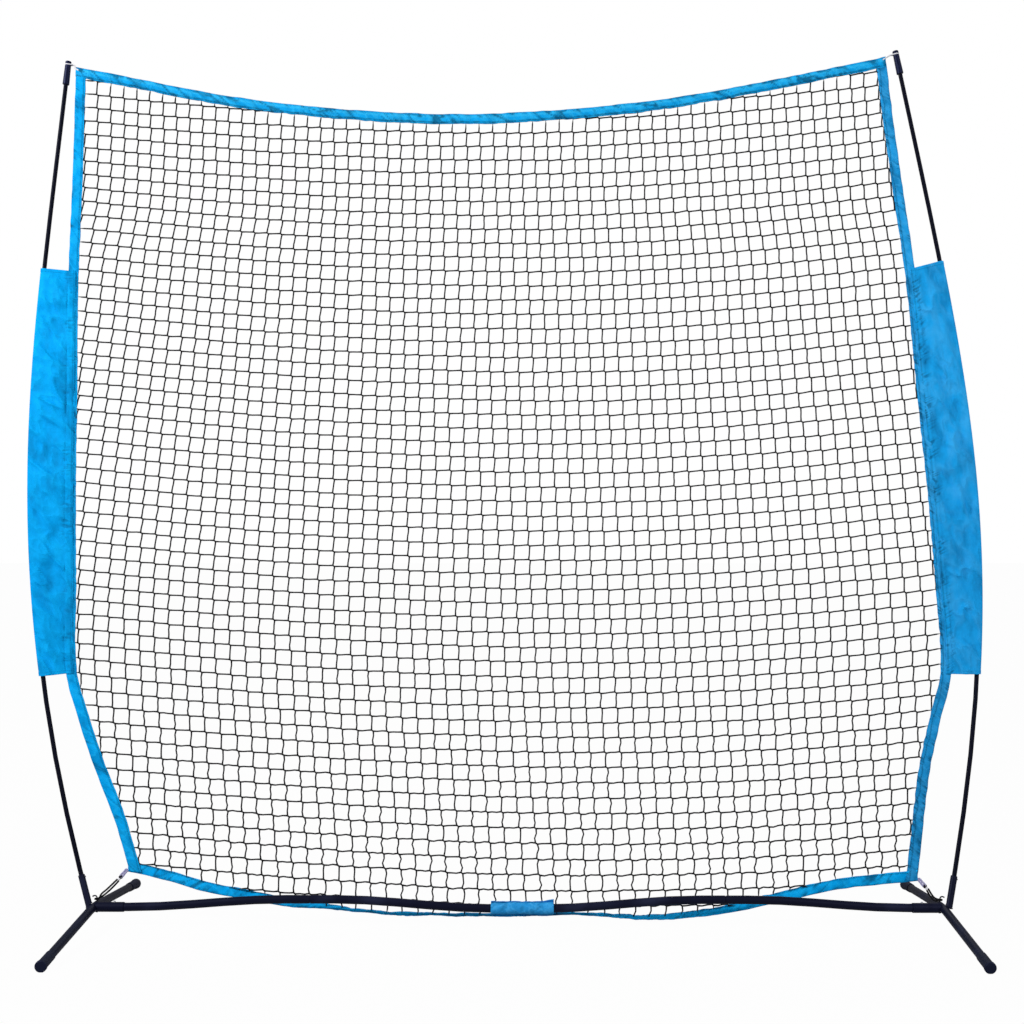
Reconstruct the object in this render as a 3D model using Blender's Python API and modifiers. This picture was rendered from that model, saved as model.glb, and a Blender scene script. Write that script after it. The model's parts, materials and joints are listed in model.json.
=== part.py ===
"""A free-standing cricket backstop net on a bow frame.

Metres, +Z up, +X to the right as seen from the batter's side, +Y towards the back.
A steel base of two bent side legs and a four-piece crossbar carries two sprung
poles. The poles bow outwards and lean back, and hold a square mesh with bound edges.
"""

import math

import bmesh
import bpy
from mathutils import Vector

# Fits
CLEAR = 0.0003            # gap between pieces that touch
FIT = 0.0005              # radial play of a tube inside another

# Steel base
HUB_SPACING = 2.000       # between the two leg tubes, centre to centre
HUB_HEIGHT = 0.045        # centre of the leg tube at the crossbar
LEG_REACH = 0.387         # hub to the outer end of a foot cap
FOOT_HEIGHT = 0.0120      # centre of a foot cap's outer end
LEG_RADIUS = 0.0100
LEG_BEND = 0.030          # length of the bent stretch either side of the hub
TUBE_WALL = 0.0011
BAR_RADIUS = 0.0100
BAR_RISE = 0.0185         # lift of the crossbar at its quarter joints
BAR_SAG = 0.0026          # drop of the crossbar at its middle joint
QUARTER_JOINT = 0.488     # middle joint to quarter joint
JOINT_STRAIGHT = 0.055    # straight stretch either side of a joint
SPIGOT_LENGTH = 0.045
STUB_WALL = 0.0011
STUB_LENGTH = 0.0725      # leg centre to the stub's open end
STUB_START = 0.004        # leg centre to the stub's welded end
BAR_INSERT = 0.016        # leg centre to the crossbar's end inside the stub

# Foot caps
CAP_LENGTH = 0.070
CAP_WALL = 0.0011
CAP_FLOOR = 0.003
CAP_FLARE = 0.0014        # how far the rim at the closed end stands out
CAP_RIM = 0.008

# Pole sockets
SOCKET_WALL = 0.0020
SOCKET_TOP = 0.1154       # height of the mouth's centre
BACK_LEAN = math.radians(16.5)
ROD_DEPTH = 0.056         # how far a pole reaches into its socket

# Poles
ROD_RADIUS = 0.0055
ROD_WALL = 0.0020
TIP_BACK_LEAN = math.radians(3.0)
FERRULE_LENGTH = 0.060
FERRULE_WALL = 0.0009
POLE_JOINTS = (0.74, 1.42)    # along the pole, from the socket's mouth
TIP_SEAT = 0.048          # how far a pole reaches into its tip cap

# Tip caps
TIP_SLEEVE = 0.051
TIP_WALL = 0.0019
TIP_TAPER = 0.0010
GROOVE_RADIUS = 0.0052
GROOVE_HEIGHT = 0.0034
HEAD_RADIUS = 0.0078
HEAD_HEIGHT = 0.0075

# Lock buttons
STUB_BUTTON_AT = 0.050    # leg centre to the button
STUB_BUTTON_RADIUS = 0.0030
STUB_BUTTON_STANDS = 0.0028
SOCKET_BUTTON_DROP = 0.0065   # below the socket's mouth
SOCKET_BUTTON_RADIUS = 0.0020
SOCKET_BUTTON_STANDS = 0.0018
BUTTON_PLAY = 0.0004
LEAF = 0.0005
SOCKET_LEAF = 0.0004

# Hooks and corner fittings
HOOK_BACK = 0.031         # behind the crossbar's axis
HOOK_RADIUS = 0.0016
ELASTIC_RADIUS = 0.0015
BEAD_RADIUS = 0.0030
BEAD_LENGTH = 0.0055
CLIP_LENGTH = 0.024
CLIP_WIDTH = 0.011
CLIP_THICK = 0.0042
TIE_RADIUS = 0.0011

# Net, hems and sleeves
TWINE = 0.0028
GAPS_ACROSS = 15
GAPS_DOWN = 15
CLOTH = 0.0024            # thickness of a folded binding
SIDE_WIDTH = 0.0265
TOP_WIDTH = 0.0270
BOTTOM_WIDTH = 0.0250
NET_BACK = 0.035          # net behind the crossbar's axis, at hub height
CORNER_DROP = 0.0170      # top corner below the pole's tip
SLEEVE_BOTTOM = 0.580
SLEEVE_TOP = 1.600
SLEEVE_ROWS = 16          # stations of the cloth along a sleeve, below it and above it
ROWS_BELOW = 9
ROWS_ABOVE = 9
SLEEVE_CLOTH = 0.0008
SLEEVE_SEAM = 0.0026
SLEEVE_EASE = 0.0015      # slack of a sleeve round its pole's ferrules
NET_EASE = 0.0037         # the mesh hangs this far inside the bound edges
FOLD_DEPTH = 0.0022
WRAP_LENGTH = 0.148
WRAP_SHIFT = 0.011
WRAP_CLOTH = 0.0012
WRAP_LAP = 0.0017         # growth of the wrap's radius per turn

# Inset of the binding's outer edge from the pole at a few heights
INSET_HEIGHTS = (0.12, 0.24, 0.36, 0.48, 0.58, 0.80, 1.05, 1.30, 1.60, 1.84, 2.02)
INSET_LEFT = (0.104, 0.106, 0.090, 0.074, 0.060, 0.082, 0.095, 0.091, 0.068, 0.053, 0.035)
INSET_RIGHT = (0.077, 0.083, 0.083, 0.077, 0.063, 0.085, 0.098, 0.096, 0.074, 0.059, 0.044)
# Drop of the top hem below the line through its corners
TOP_FRACTIONS = (0.0, 0.07, 0.18, 0.30, 0.42, 0.52, 0.64, 0.76, 0.88, 0.95, 1.0)
TOP_DROPS = (0.0, 0.034, 0.078, 0.111, 0.133, 0.138, 0.124, 0.094, 0.048, 0.021, 0.0)
# Bottom hem: fraction of its run, height of its middle, and turn from upright in degrees
HEM_FRACTIONS = (0.0, 0.05, 0.10, 0.15, 0.20, 0.26, 0.33, 0.42, 0.50, 0.58, 0.66, 0.74, 0.82, 0.90, 1.0)
HEM_HEIGHTS = (0.127, 0.108, 0.082, 0.066, 0.052, 0.037, 0.025, 0.021, 0.035,
               0.022, 0.016, 0.028, 0.061, 0.088, 0.108)
HEM_TURNS = (0, 0, 0, 15, 50, 85, 90, 90, 90, 88, 81, 66, 38, 12, 0)
HEM_FORWARD = 0.0125      # how far the hem comes forward to the wrap


class Side:
    """What differs between the left and the right half, measured outboard of the hub."""

    def __init__(self, name, sign, foot, lean, pull, tip, tip_height, tip_lean, tip_pull, insets,
                 top_inset, slant):
        self.name = name
        self.sign = sign
        self.foot = foot
        self.lean = math.radians(lean)
        self.pull = pull
        self.tip = tip
        self.tip_height = tip_height
        self.tip_lean = math.radians(tip_lean)
        self.tip_pull = tip_pull
        self.insets = insets
        self.top_inset = top_inset
        self.slant = slant
        self.hub_x = sign * HUB_SPACING / 2


LEFT = Side("left", -1, 0.0091, 20.0, 0.783, 0.181, 2.1585, -5.2, 0.720, INSET_LEFT, 0.022, 0.004)
RIGHT = Side("right", 1, 0.0132, 14.4, 0.774, -0.0205, 2.1835, -11.1, 0.869, INSET_RIGHT, 0.029,
             0.020)
SIDES = (LEFT, RIGHT)


def material(name, colour, roughness, metallic=0.0):
    """A plain finish for a piece."""
    made = bpy.data.materials.new(name)
    made.use_nodes = True
    shader = made.node_tree.nodes["Principled BSDF"]
    shader.inputs["Base Color"].default_value = (*colour, 1.0)
    shader.inputs["Roughness"].default_value = roughness
    shader.inputs["Metallic"].default_value = metallic
    return made


def adopt(obj, finish, group, root):
    """Puts an object in its collection, under the root and with its finish."""
    for old in list(obj.users_collection):
        old.objects.unlink(obj)
    group.objects.link(obj)
    obj.parent = root
    if finish:
        obj.data.materials.clear()
        obj.data.materials.append(finish)
    return obj


def spline(knots, values, at):
    """Smooth value through the knots, by cubic Hermite pieces with averaged slopes."""
    last = len(knots) - 1
    at = min(max(at, knots[0]), knots[last])
    i = max(k for k in range(last) if knots[k] <= at or k == 0)

    def slope(k):
        low = max(k - 1, 0)
        high = min(k + 1, last)
        return (values[high] - values[low]) / (knots[high] - knots[low])

    span = knots[i + 1] - knots[i]
    t = (at - knots[i]) / span
    return ((2 * t**3 - 3 * t**2 + 1) * values[i] + (t**3 - 2 * t**2 + t) * span * slope(i)
            + (3 * t**2 - 2 * t**3) * values[i + 1] + (t**3 - t**2) * span * slope(i + 1))


def smooth_points(points, count):
    """Evenly numbered points on a smooth curve through a few chosen ones."""
    knots = [0.0]
    for a, b in zip(points, points[1:]):
        knots.append(knots[-1] + (Vector(b) - Vector(a)).length)
    axes = list(zip(*points))
    return [Vector([spline(knots, axis, knots[-1] * k / (count - 1)) for axis in axes])
            for k in range(count)]


class Pole:
    """Centreline of a bowed pole: a straight stretch in the socket, then a cubic Bezier."""

    STEPS = 240

    def __init__(self, side):
        rise = SOCKET_TOP - HUB_HEIGHT
        self.side = side
        start = Vector((side.sign * math.tan(side.lean), math.tan(BACK_LEAN), 1.0))
        end = Vector((side.sign * math.tan(side.tip_lean), math.tan(TIP_BACK_LEAN), 1.0))
        self.direction = start.normalized()
        foot = Vector((side.hub_x + side.sign * side.foot, 0.0, HUB_HEIGHT))
        self.mouth = foot + start * rise
        back = (math.tan(BACK_LEAN) + math.tan(TIP_BACK_LEAN)) / 2 * (side.tip_height - SOCKET_TOP)
        tip = Vector((side.hub_x + side.sign * side.tip, self.mouth.y + back * 0.985,
                      side.tip_height))
        cage = (self.mouth, self.mouth + start * side.pull, tip - end * side.tip_pull, tip)
        self.table = []
        self.lengths = [0.0]
        for k in range(self.STEPS + 1):
            t = k / self.STEPS
            weights = ((1 - t)**3, 3 * (1 - t)**2 * t, 3 * (1 - t) * t**2, t**3)
            self.table.append(sum((w * p for w, p in zip(weights, cage)), Vector((0, 0, 0))))
            if k:
                self.lengths.append(self.lengths[-1] + (self.table[-1] - self.table[-2]).length)
        self.length = self.lengths[-1] - (TIP_SLEEVE - TIP_SEAT + GROOVE_HEIGHT + HEAD_HEIGHT)

    def at(self, distance):
        """Point at a distance from the mouth; below the mouth it runs straight down the socket."""
        if distance <= 0:
            return self.mouth + self.direction * distance
        for k in range(self.STEPS):
            if self.lengths[k + 1] >= distance or k == self.STEPS - 1:
                share = (distance - self.lengths[k]) / (self.lengths[k + 1] - self.lengths[k])
                return self.table[k].lerp(self.table[k + 1], share)

    def at_height(self, height):
        """Point at a height; below the mouth it is the socket's own axis."""
        if height <= self.mouth.z:
            return self.mouth + self.direction * ((height - self.mouth.z) / self.direction.z)
        for low, high in zip(self.table, self.table[1:]):
            if high.z >= height:
                return low.lerp(high, (height - low.z) / (high.z - low.z))
        return self.table[-1].copy()


class NetShape:
    """Where the net hangs: its depth at a height, its side edges and its two hems."""

    def __init__(self, poles):
        self.poles = poles
        low = sum(p.at_height(SLEEVE_BOTTOM).y for p in poles.values()) / 2 - NET_BACK
        tip_z = sum(p.side.tip_height for p in poles.values()) / 2
        high = sum(p.table[-1].y for p in poles.values()) / 2 - NET_BACK
        a = SLEEVE_BOTTOM - HUB_HEIGHT
        b = tip_z - HUB_HEIGHT
        self.curve = (high / b - low / a) / (b - a)
        self.slope = low / a - self.curve * a
        self.corners = {}
        for name, pole in poles.items():
            top = pole.side.tip_height - CORNER_DROP
            self.corners[name] = Vector((self.edge_x(name, top), self.depth(top), top))

    def depth(self, height):
        """How far back the net hangs at a height."""
        up = height - HUB_HEIGHT
        return NET_BACK + self.slope * up + self.curve * up * up

    def edge_x(self, name, height):
        """Outer edge of a side binding."""
        pole = self.poles[name]
        top = pole.side.tip_height - CORNER_DROP
        heights = [h for h in INSET_HEIGHTS if h < top - 0.05] + [top]
        insets = list(pole.side.insets[:len(heights) - 1]) + [pole.side.top_inset]
        inset = spline(heights, insets, height)
        return pole.at_height(height).x - pole.side.sign * inset

    def side_point(self, name, height, inset):
        """A point inboard of a side edge, measured square to the edge."""
        sign = self.poles[name].side.sign
        step = 0.02
        lean = (self.edge_x(name, height + step) - self.edge_x(name, height - step)) / (2 * step)
        x = self.edge_x(name, height) - sign * inset * math.hypot(1.0, lean)
        return Vector((x, self.depth(height), height))

    def top_point(self, fraction, drop):
        """A point on the top hem, a drop below its upper edge."""
        left = self.corners["left"]
        right = self.corners["right"]
        x = left.x + (right.x - left.x) * fraction
        z = left.z + (right.z - left.z) * fraction - spline(TOP_FRACTIONS, TOP_DROPS, fraction)
        return Vector((x, self.depth(z - drop), z - drop))

    def hem_frame(self, fraction):
        """Middle of the bottom hem, and the direction from there to its upper edge."""
        left = self.edge_x("left", HEM_HEIGHTS[0])
        right = self.edge_x("right", HEM_HEIGHTS[-1])
        z = spline(HEM_FRACTIONS, HEM_HEIGHTS, fraction)
        turn = math.radians(spline(HEM_FRACTIONS, HEM_TURNS, fraction))
        x = left + (right - left) * fraction
        near = max(0.0, 1.0 - abs(x - WRAP_SHIFT) / (2.5 * WRAP_LENGTH))
        y = self.depth(z) + 0.004 * math.sin(turn) - HEM_FORWARD * near * near * (3 - 2 * near)
        return Vector((x, y, z)), Vector((0.0, math.sin(turn), math.cos(turn)))

    def hem_point(self, fraction, offset):
        """A point on the bottom hem, an offset towards its upper edge."""
        middle, up = self.hem_frame(fraction)
        return middle + up * offset


class Workshop:
    """Makes the objects and keeps the collections that they go in."""

    def __init__(self):
        for old in list(bpy.data.objects):
            bpy.data.objects.remove(old, do_unlink=True)
        self.parts = self.collection("cricket_backstop_net")
        self.cutters = self.collection("cutters")
        self.root = bpy.data.objects.new("net_frame", None)
        self.parts.objects.link(self.root)

    @staticmethod
    def collection(name):
        made = bpy.data.collections.new(name)
        bpy.context.scene.collection.children.link(made)
        return made

    def mesh_object(self, name, bm, finish, smooth=True):
        """A named object from a bmesh, which is freed."""
        bmesh.ops.recalc_face_normals(bm, faces=bm.faces)
        mesh = bpy.data.meshes.new(name)
        bm.to_mesh(mesh)
        bm.free()
        if smooth:
            mesh.shade_smooth()
            mesh.set_sharp_from_angle(angle=math.radians(35))
        obj = bpy.data.objects.new(name, mesh)
        self.parts.objects.link(obj)
        obj.parent = self.root
        if finish:
            mesh.materials.append(finish)
        return obj

    def curve(self, name, points, radius, finish, sides=16, radii=None, caps=True):
        """A rod along points. sides is 4 + 2 x the bevel's resolution."""
        data = bpy.data.curves.new(name, "CURVE")
        data.dimensions = "3D"
        data.bevel_depth = radius
        data.bevel_resolution = (sides - 4) // 2
        data.use_fill_caps = caps
        data.twist_mode = "MINIMUM"
        line = data.splines.new("POLY")
        line.points.add(len(points) - 1)
        for k, place in enumerate(points):
            line.points[k].co = (*place, 1.0)
            line.points[k].radius = radii[k] / radius if radii else 1.0
        obj = bpy.data.objects.new(name, data)
        self.parts.objects.link(obj)
        obj.parent = self.root
        if finish:
            data.materials.append(finish)
        for one in data.splines:
            one.use_smooth = True
        return obj

    def as_mesh(self, obj, weld=True):
        """Turns a curve object into a mesh object of the same name and place."""
        bpy.context.view_layer.update()
        graph = bpy.context.evaluated_depsgraph_get()
        mesh = bpy.data.meshes.new_from_object(obj.evaluated_get(graph))
        name = obj.name
        matrix = obj.matrix_world.copy()
        finish = list(obj.data.materials)
        bpy.data.objects.remove(obj, do_unlink=True)
        bm = bmesh.new()
        bm.from_mesh(mesh)
        if weld:
            bmesh.ops.remove_doubles(bm, verts=bm.verts, dist=1e-6)
        bmesh.ops.recalc_face_normals(bm, faces=bm.faces)
        bm.to_mesh(mesh)
        bm.free()
        made = bpy.data.objects.new(name, mesh)
        made.name = name
        self.parts.objects.link(made)
        made.parent = self.root
        made.matrix_world = matrix
        if finish and not mesh.materials:
            mesh.materials.append(finish[0])
        return made

    def pipe(self, name, points, radius, wall, finish, sides=16, radii=None):
        """A hollow tube along points, open at both ends."""
        obj = self.as_mesh(self.curve(name, points, radius, finish, sides, radii, caps=False))
        self.solidify(obj, wall, -1.0)
        return obj

    @staticmethod
    def solidify(obj, thickness, offset):
        """Gives an open surface its thickness."""
        shell = obj.modifiers.new("wall", "SOLIDIFY")
        shell.thickness = thickness
        shell.offset = offset
        shell.use_even_offset = True
        shell.use_rim = True

    def turned(self, name, profile, finish, steps=16, closed=True, place=None, axis=None):
        """A turned shape. The profile holds (radius, height) pairs, down its outer side."""
        mesh = bpy.data.meshes.new(name)
        points = [(r, 0.0, h) for r, h in profile]
        edges = [(k, k + 1) for k in range(len(points) - 1)]
        if closed:
            edges.append((len(points) - 1, 0))
        mesh.from_pydata(points, edges, [])
        obj = bpy.data.objects.new(name, mesh)
        self.parts.objects.link(obj)
        obj.parent = self.root
        turn = obj.modifiers.new("turn", "SCREW")
        turn.axis = "Z"
        turn.steps = steps
        turn.render_steps = steps
        turn.use_merge_vertices = True
        turn.merge_threshold = 1e-5
        turn.use_smooth_shade = True
        if finish:
            mesh.materials.append(finish)
        if place is not None:
            obj.location = place
        if axis is not None:
            obj.rotation_euler = Vector(axis).to_track_quat("Z", "Y").to_euler()
        return obj

    def cylinder(self, name, radius, start, end, sides=16):
        """A plain cutting cylinder between two points."""
        span = Vector(end) - Vector(start)
        bm = bmesh.new()
        bmesh.ops.create_cone(bm, cap_ends=True, segments=sides, radius1=radius, radius2=radius,
                              depth=span.length)
        obj = self.mesh_object(name, bm, None)
        obj.location = (Vector(start) + Vector(end)) / 2
        obj.rotation_euler = span.to_track_quat("Z", "Y").to_euler()
        return self.as_cutter(obj)

    def as_cutter(self, obj):
        """Hides a helper and moves it to the cutters."""
        self.parts.objects.unlink(obj)
        self.cutters.objects.link(obj)
        obj.hide_render = True
        obj.display_type = "WIRE"
        return obj

    @staticmethod
    def cut(obj, cutter):
        """Cuts one object away from another."""
        step = obj.modifiers.new(f"cut_{cutter.name}", "BOOLEAN")
        step.operation = "DIFFERENCE"
        step.solver = "EXACT"
        step.object = cutter

    def strip(self, name, first, second, thickness, finish):
        """A cloth strip between two rows of points, thickened about its middle."""
        bm = bmesh.new()
        low = [bm.verts.new(p) for p in first]
        high = [bm.verts.new(p) for p in second]
        for k in range(len(low) - 1):
            bm.faces.new((low[k], low[k + 1], high[k + 1], high[k]))
        obj = self.mesh_object(name, bm, finish)
        self.solidify(obj, thickness, 0.0)
        return obj


def leg_direction(end):
    """Unit vector from the hub to a foot. end is -1 at the front and 1 at the rear."""
    return Vector((0.0, end * LEG_REACH, FOOT_HEIGHT - HUB_HEIGHT)).normalized()


def leg_points(side, reach):
    """Centreline of a leg tube, bent at the hub, reaching a length along each end."""
    hub = Vector((side.hub_x, 0.0, HUB_HEIGHT))
    front = leg_direction(-1)
    rear = leg_direction(1)
    crown = hub + Vector((0.0, 0.0, -LEG_BEND * (HUB_HEIGHT - FOOT_HEIGHT) / LEG_REACH / 2))
    return [hub + front * reach, hub + front * LEG_BEND, crown, hub + rear * LEG_BEND,
            hub + rear * reach]


def build_legs(shop, side, finishes):
    """The bent leg tube with its two rubber foot caps and the elastic's hook."""
    outer_end = (Vector((0.0, LEG_REACH, FOOT_HEIGHT - HUB_HEIGHT))).length
    tube_end = outer_end - CAP_FLOOR - CLEAR
    shop.pipe(f"{side.name}_leg_tube", leg_points(side, tube_end), LEG_RADIUS, TUBE_WALL,
              finishes["steel"])
    bore = LEG_RADIUS + FIT
    body = bore + CAP_WALL
    rim = body + CAP_FLARE
    hub = Vector((side.hub_x, 0.0, HUB_HEIGHT))
    half = 0.06
    for end, where in ((-1, "front"), (1, "rear")):
        along = leg_direction(end)
        profile = [(0.0, 0.0), (rim - 0.0016, 0.0), (rim, -0.0014), (rim, -CAP_RIM),
                   (body, -CAP_RIM * 2.2), (body - 0.0003, -CAP_LENGTH + 0.001),
                   (body - 0.0006, -CAP_LENGTH), (bore, -CAP_LENGTH), (bore, -CAP_FLOOR),
                   (0.0, -CAP_FLOOR)]
        cap = shop.turned(f"{where}_{side.name}_foot_cap", profile, finishes["rubber"], 20, False,
                          hub + along * outer_end, along)
        bm = bmesh.new()
        bmesh.ops.create_cube(bm, size=2 * half)
        floor = shop.mesh_object(f"floor_{where}_{side.name}", bm, None, smooth=False)
        floor.location = (side.hub_x, end * LEG_REACH, -half)
        shop.cut(cap, shop.as_cutter(floor))
    foot = hub + leg_direction(1) * HOOK_BACK + Vector((0, 0, LEG_RADIUS + CLEAR))
    out = Vector((side.sign, 0.0, 0.0))
    route = [foot, foot + Vector((0, 0, 0.006)), foot + out * 0.0012 + Vector((0, -0.001, 0.0105)),
             foot + out * 0.0055 + Vector((0, -0.003, 0.0125)),
             foot + out * 0.0095 + Vector((0, -0.005, 0.0105))]
    shop.curve(f"{side.name}_cord_hook", smooth_points(route, 9), HOOK_RADIUS, finishes["steel"], 8)
    return foot


def build_stub(shop, side, finishes):
    """The stub that takes the crossbar, saddled on the leg, with its lock button's hole."""
    bore = (BAR_RADIUS + CLEAR) / math.cos(math.pi / 16)
    outer = bore + STUB_WALL
    start = Vector((side.hub_x - side.sign * STUB_START, 0.0, HUB_HEIGHT))
    inward = Vector((-side.sign, 0.0, 0.0))
    length = STUB_LENGTH - STUB_START
    profile = [(outer, length), (outer, 0.0), (bore, 0.0), (bore, length)]
    stub = shop.turned(f"{side.name}_crossbar_stub", profile, finishes["steel"], 16, True, start,
                       inward)
    saddle = shop.curve(f"saddle_{side.name}", leg_points(side, 0.08), LEG_RADIUS + CLEAR * 1.6,
                        None, 16)
    saddle = shop.as_cutter(shop.as_mesh(saddle))
    shop.cut(stub, saddle)
    centre = Vector((side.hub_x - side.sign * STUB_BUTTON_AT, 0.0, HUB_HEIGHT))
    drill = shop.cylinder(f"drill_stub_{side.name}", STUB_BUTTON_RADIUS + BUTTON_PLAY, centre,
                          centre + Vector((0, 0, 0.03)), 12)
    shop.cut(stub, drill)
    return saddle, drill, centre, outer


def bar_points(start_x, start_z, end_x, end_z, spigot_at_end, start_straight):
    """Stations and radii of one crossbar tube, straight near its joints and eased between."""
    way = 1.0 if end_x > start_x else -1.0
    a = start_x + way * start_straight
    b = end_x - way * JOINT_STRAIGHT
    points = [Vector((start_x, 0.0, start_z)), Vector((a, 0.0, start_z))]
    for k in range(1, 5):
        t = k / 5
        points.append(Vector((a + (b - a) * t, 0.0,
                              start_z + (end_z - start_z) * (1 - math.cos(math.pi * t)) / 2)))
    points.append(Vector((b, 0.0, end_z)))
    radii = [BAR_RADIUS] * len(points)
    slim = (BAR_RADIUS - TUBE_WALL) * math.cos(math.pi / 16) - CLEAR * 1.2
    if spigot_at_end:
        for x, r in ((end_x - way * 0.0035, BAR_RADIUS), (end_x - way * CLEAR, slim),
                     (end_x + way * SPIGOT_LENGTH, slim)):
            points.append(Vector((x, 0.0, end_z)))
            radii.append(r)
    else:
        points.append(Vector((end_x, 0.0, end_z)))
        radii.append(BAR_RADIUS)
    return points, radii


def build_crossbar(shop, finishes, drills):
    """Four crossbar tubes that plug into each other and into the stubs."""
    quarter = HUB_HEIGHT + BAR_RISE
    middle = HUB_HEIGHT - BAR_SAG
    for side in SIDES:
        end = side.hub_x - side.sign * BAR_INSERT
        joint = side.sign * QUARTER_JOINT
        points, radii = bar_points(end, HUB_HEIGHT, joint, quarter, True,
                                   STUB_LENGTH - BAR_INSERT + 0.01)
        tube = shop.pipe(f"{side.name}_outer_crossbar", points, BAR_RADIUS, TUBE_WALL,
                         finishes["steel"], 16, radii)
        shop.cut(tube, drills[side.name])
        plugs = side is LEFT
        start = joint - side.sign * CLEAR
        points, radii = bar_points(start, quarter, -side.sign * 0.0 + (0.0 if plugs else CLEAR),
                                   middle, plugs, JOINT_STRAIGHT)
        shop.pipe(f"{side.name}_inner_crossbar", points, BAR_RADIUS, TUBE_WALL,
                  finishes["steel"], 16, radii)


def build_button(shop, name, place, axis, radius, base, top, flange, finishes):
    """A domed lock button, whose origin is on its axis."""
    dome = radius * 0.55
    profile = [(0.0, top), (radius * 0.5, top - dome * 0.14), (radius * 0.87, top - dome * 0.5),
               (radius, top - dome)]
    if flange:
        profile += [(radius, base + 0.001), (flange, base + 0.001), (flange, base), (0.0, base)]
    else:
        profile += [(radius, base), (0.0, base)]
    return shop.turned(name, profile, finishes["bright"], 12, False, place, axis)


def build_spring(shop, name, origin, out, along, levels, reach, width, leaf, finishes):
    """A bent leaf spring inside a tube. levels are its upper and lower leaf, reach its length."""
    upper, lower = levels
    path = [(-width * 0.45, upper), (width * 0.6, upper), (reach * 0.9, lower * 0.55),
            (reach, lower * 0.8), (reach * 0.93, lower), (width * 0.4, lower)]
    across = out.cross(along).normalized() * (width / 2)
    middle = [origin + along * u + out * w for u, w in path]
    obj = shop.strip(name, [p - across for p in middle], [p + across for p in middle], leaf,
                     finishes["bright"])
    return obj


def build_locks(shop, side, pole, centre, stub_outer, finishes):
    """Lock buttons of the crossbar stub and of the pole socket, with their springs."""
    up = Vector((0, 0, 1))
    inward = Vector((-side.sign, 0, 0))
    bore = BAR_RADIUS - TUBE_WALL
    flange = STUB_BUTTON_RADIUS + 0.0013
    roof = math.sqrt((bore * math.cos(math.pi / 16))**2 - flange**2)
    base = roof - 0.001 - CLEAR
    build_button(shop, f"{side.name}_stub_button", centre, up, STUB_BUTTON_RADIUS, base,
                 stub_outer + STUB_BUTTON_STANDS, flange, finishes)
    levels = (base - CLEAR - LEAF / 2, -(bore * 0.88))
    build_spring(shop, f"{side.name}_stub_spring", centre, up, inward, levels, 0.032, 0.0058,
                 LEAF, finishes)
    out = Vector((1, 0, 0))
    out = (out - pole.direction * out.dot(pole.direction)).normalized()
    spot = pole.at(-SOCKET_BUTTON_DROP)
    hollow = ROD_RADIUS - ROD_WALL
    socket_outer = socket_bore() + SOCKET_WALL
    base = hollow * 0.45
    build_button(shop, f"{side.name}_socket_button", spot, out, SOCKET_BUTTON_RADIUS, base,
                 socket_outer + SOCKET_BUTTON_STANDS, None, finishes)
    levels = (base - CLEAR - SOCKET_LEAF / 2, -(hollow * 0.74))
    build_spring(shop, f"{side.name}_socket_spring", spot, out, -pole.direction, levels, 0.020,
                 0.0028, SOCKET_LEAF, finishes)
    hole = SOCKET_BUTTON_RADIUS + BUTTON_PLAY
    return shop.cylinder(f"drill_socket_{side.name}", hole, spot, spot + out * 0.02, 10)


def socket_bore():
    """Inner radius of a pole socket, ferrule or tip cap, at its corners."""
    return (ROD_RADIUS + CLEAR) / math.cos(math.pi / 16)


def build_socket(shop, side, pole, saddle, drill, finishes):
    """The welded tube that the pole stands in."""
    bore = socket_bore()
    outer = bore + SOCKET_WALL
    length = (SOCKET_TOP - HUB_HEIGHT) / pole.direction.z
    profile = [(outer - 0.0006, 0.0), (outer, -0.0006), (outer, -length), (bore, -length),
               (bore, -0.0004), (bore + 0.0003, 0.0)]
    socket = shop.turned(f"{side.name}_pole_socket", profile, finishes["steel"], 16, True,
                         pole.mouth, pole.direction)
    shop.cut(socket, saddle)
    shop.cut(socket, drill)


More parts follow.
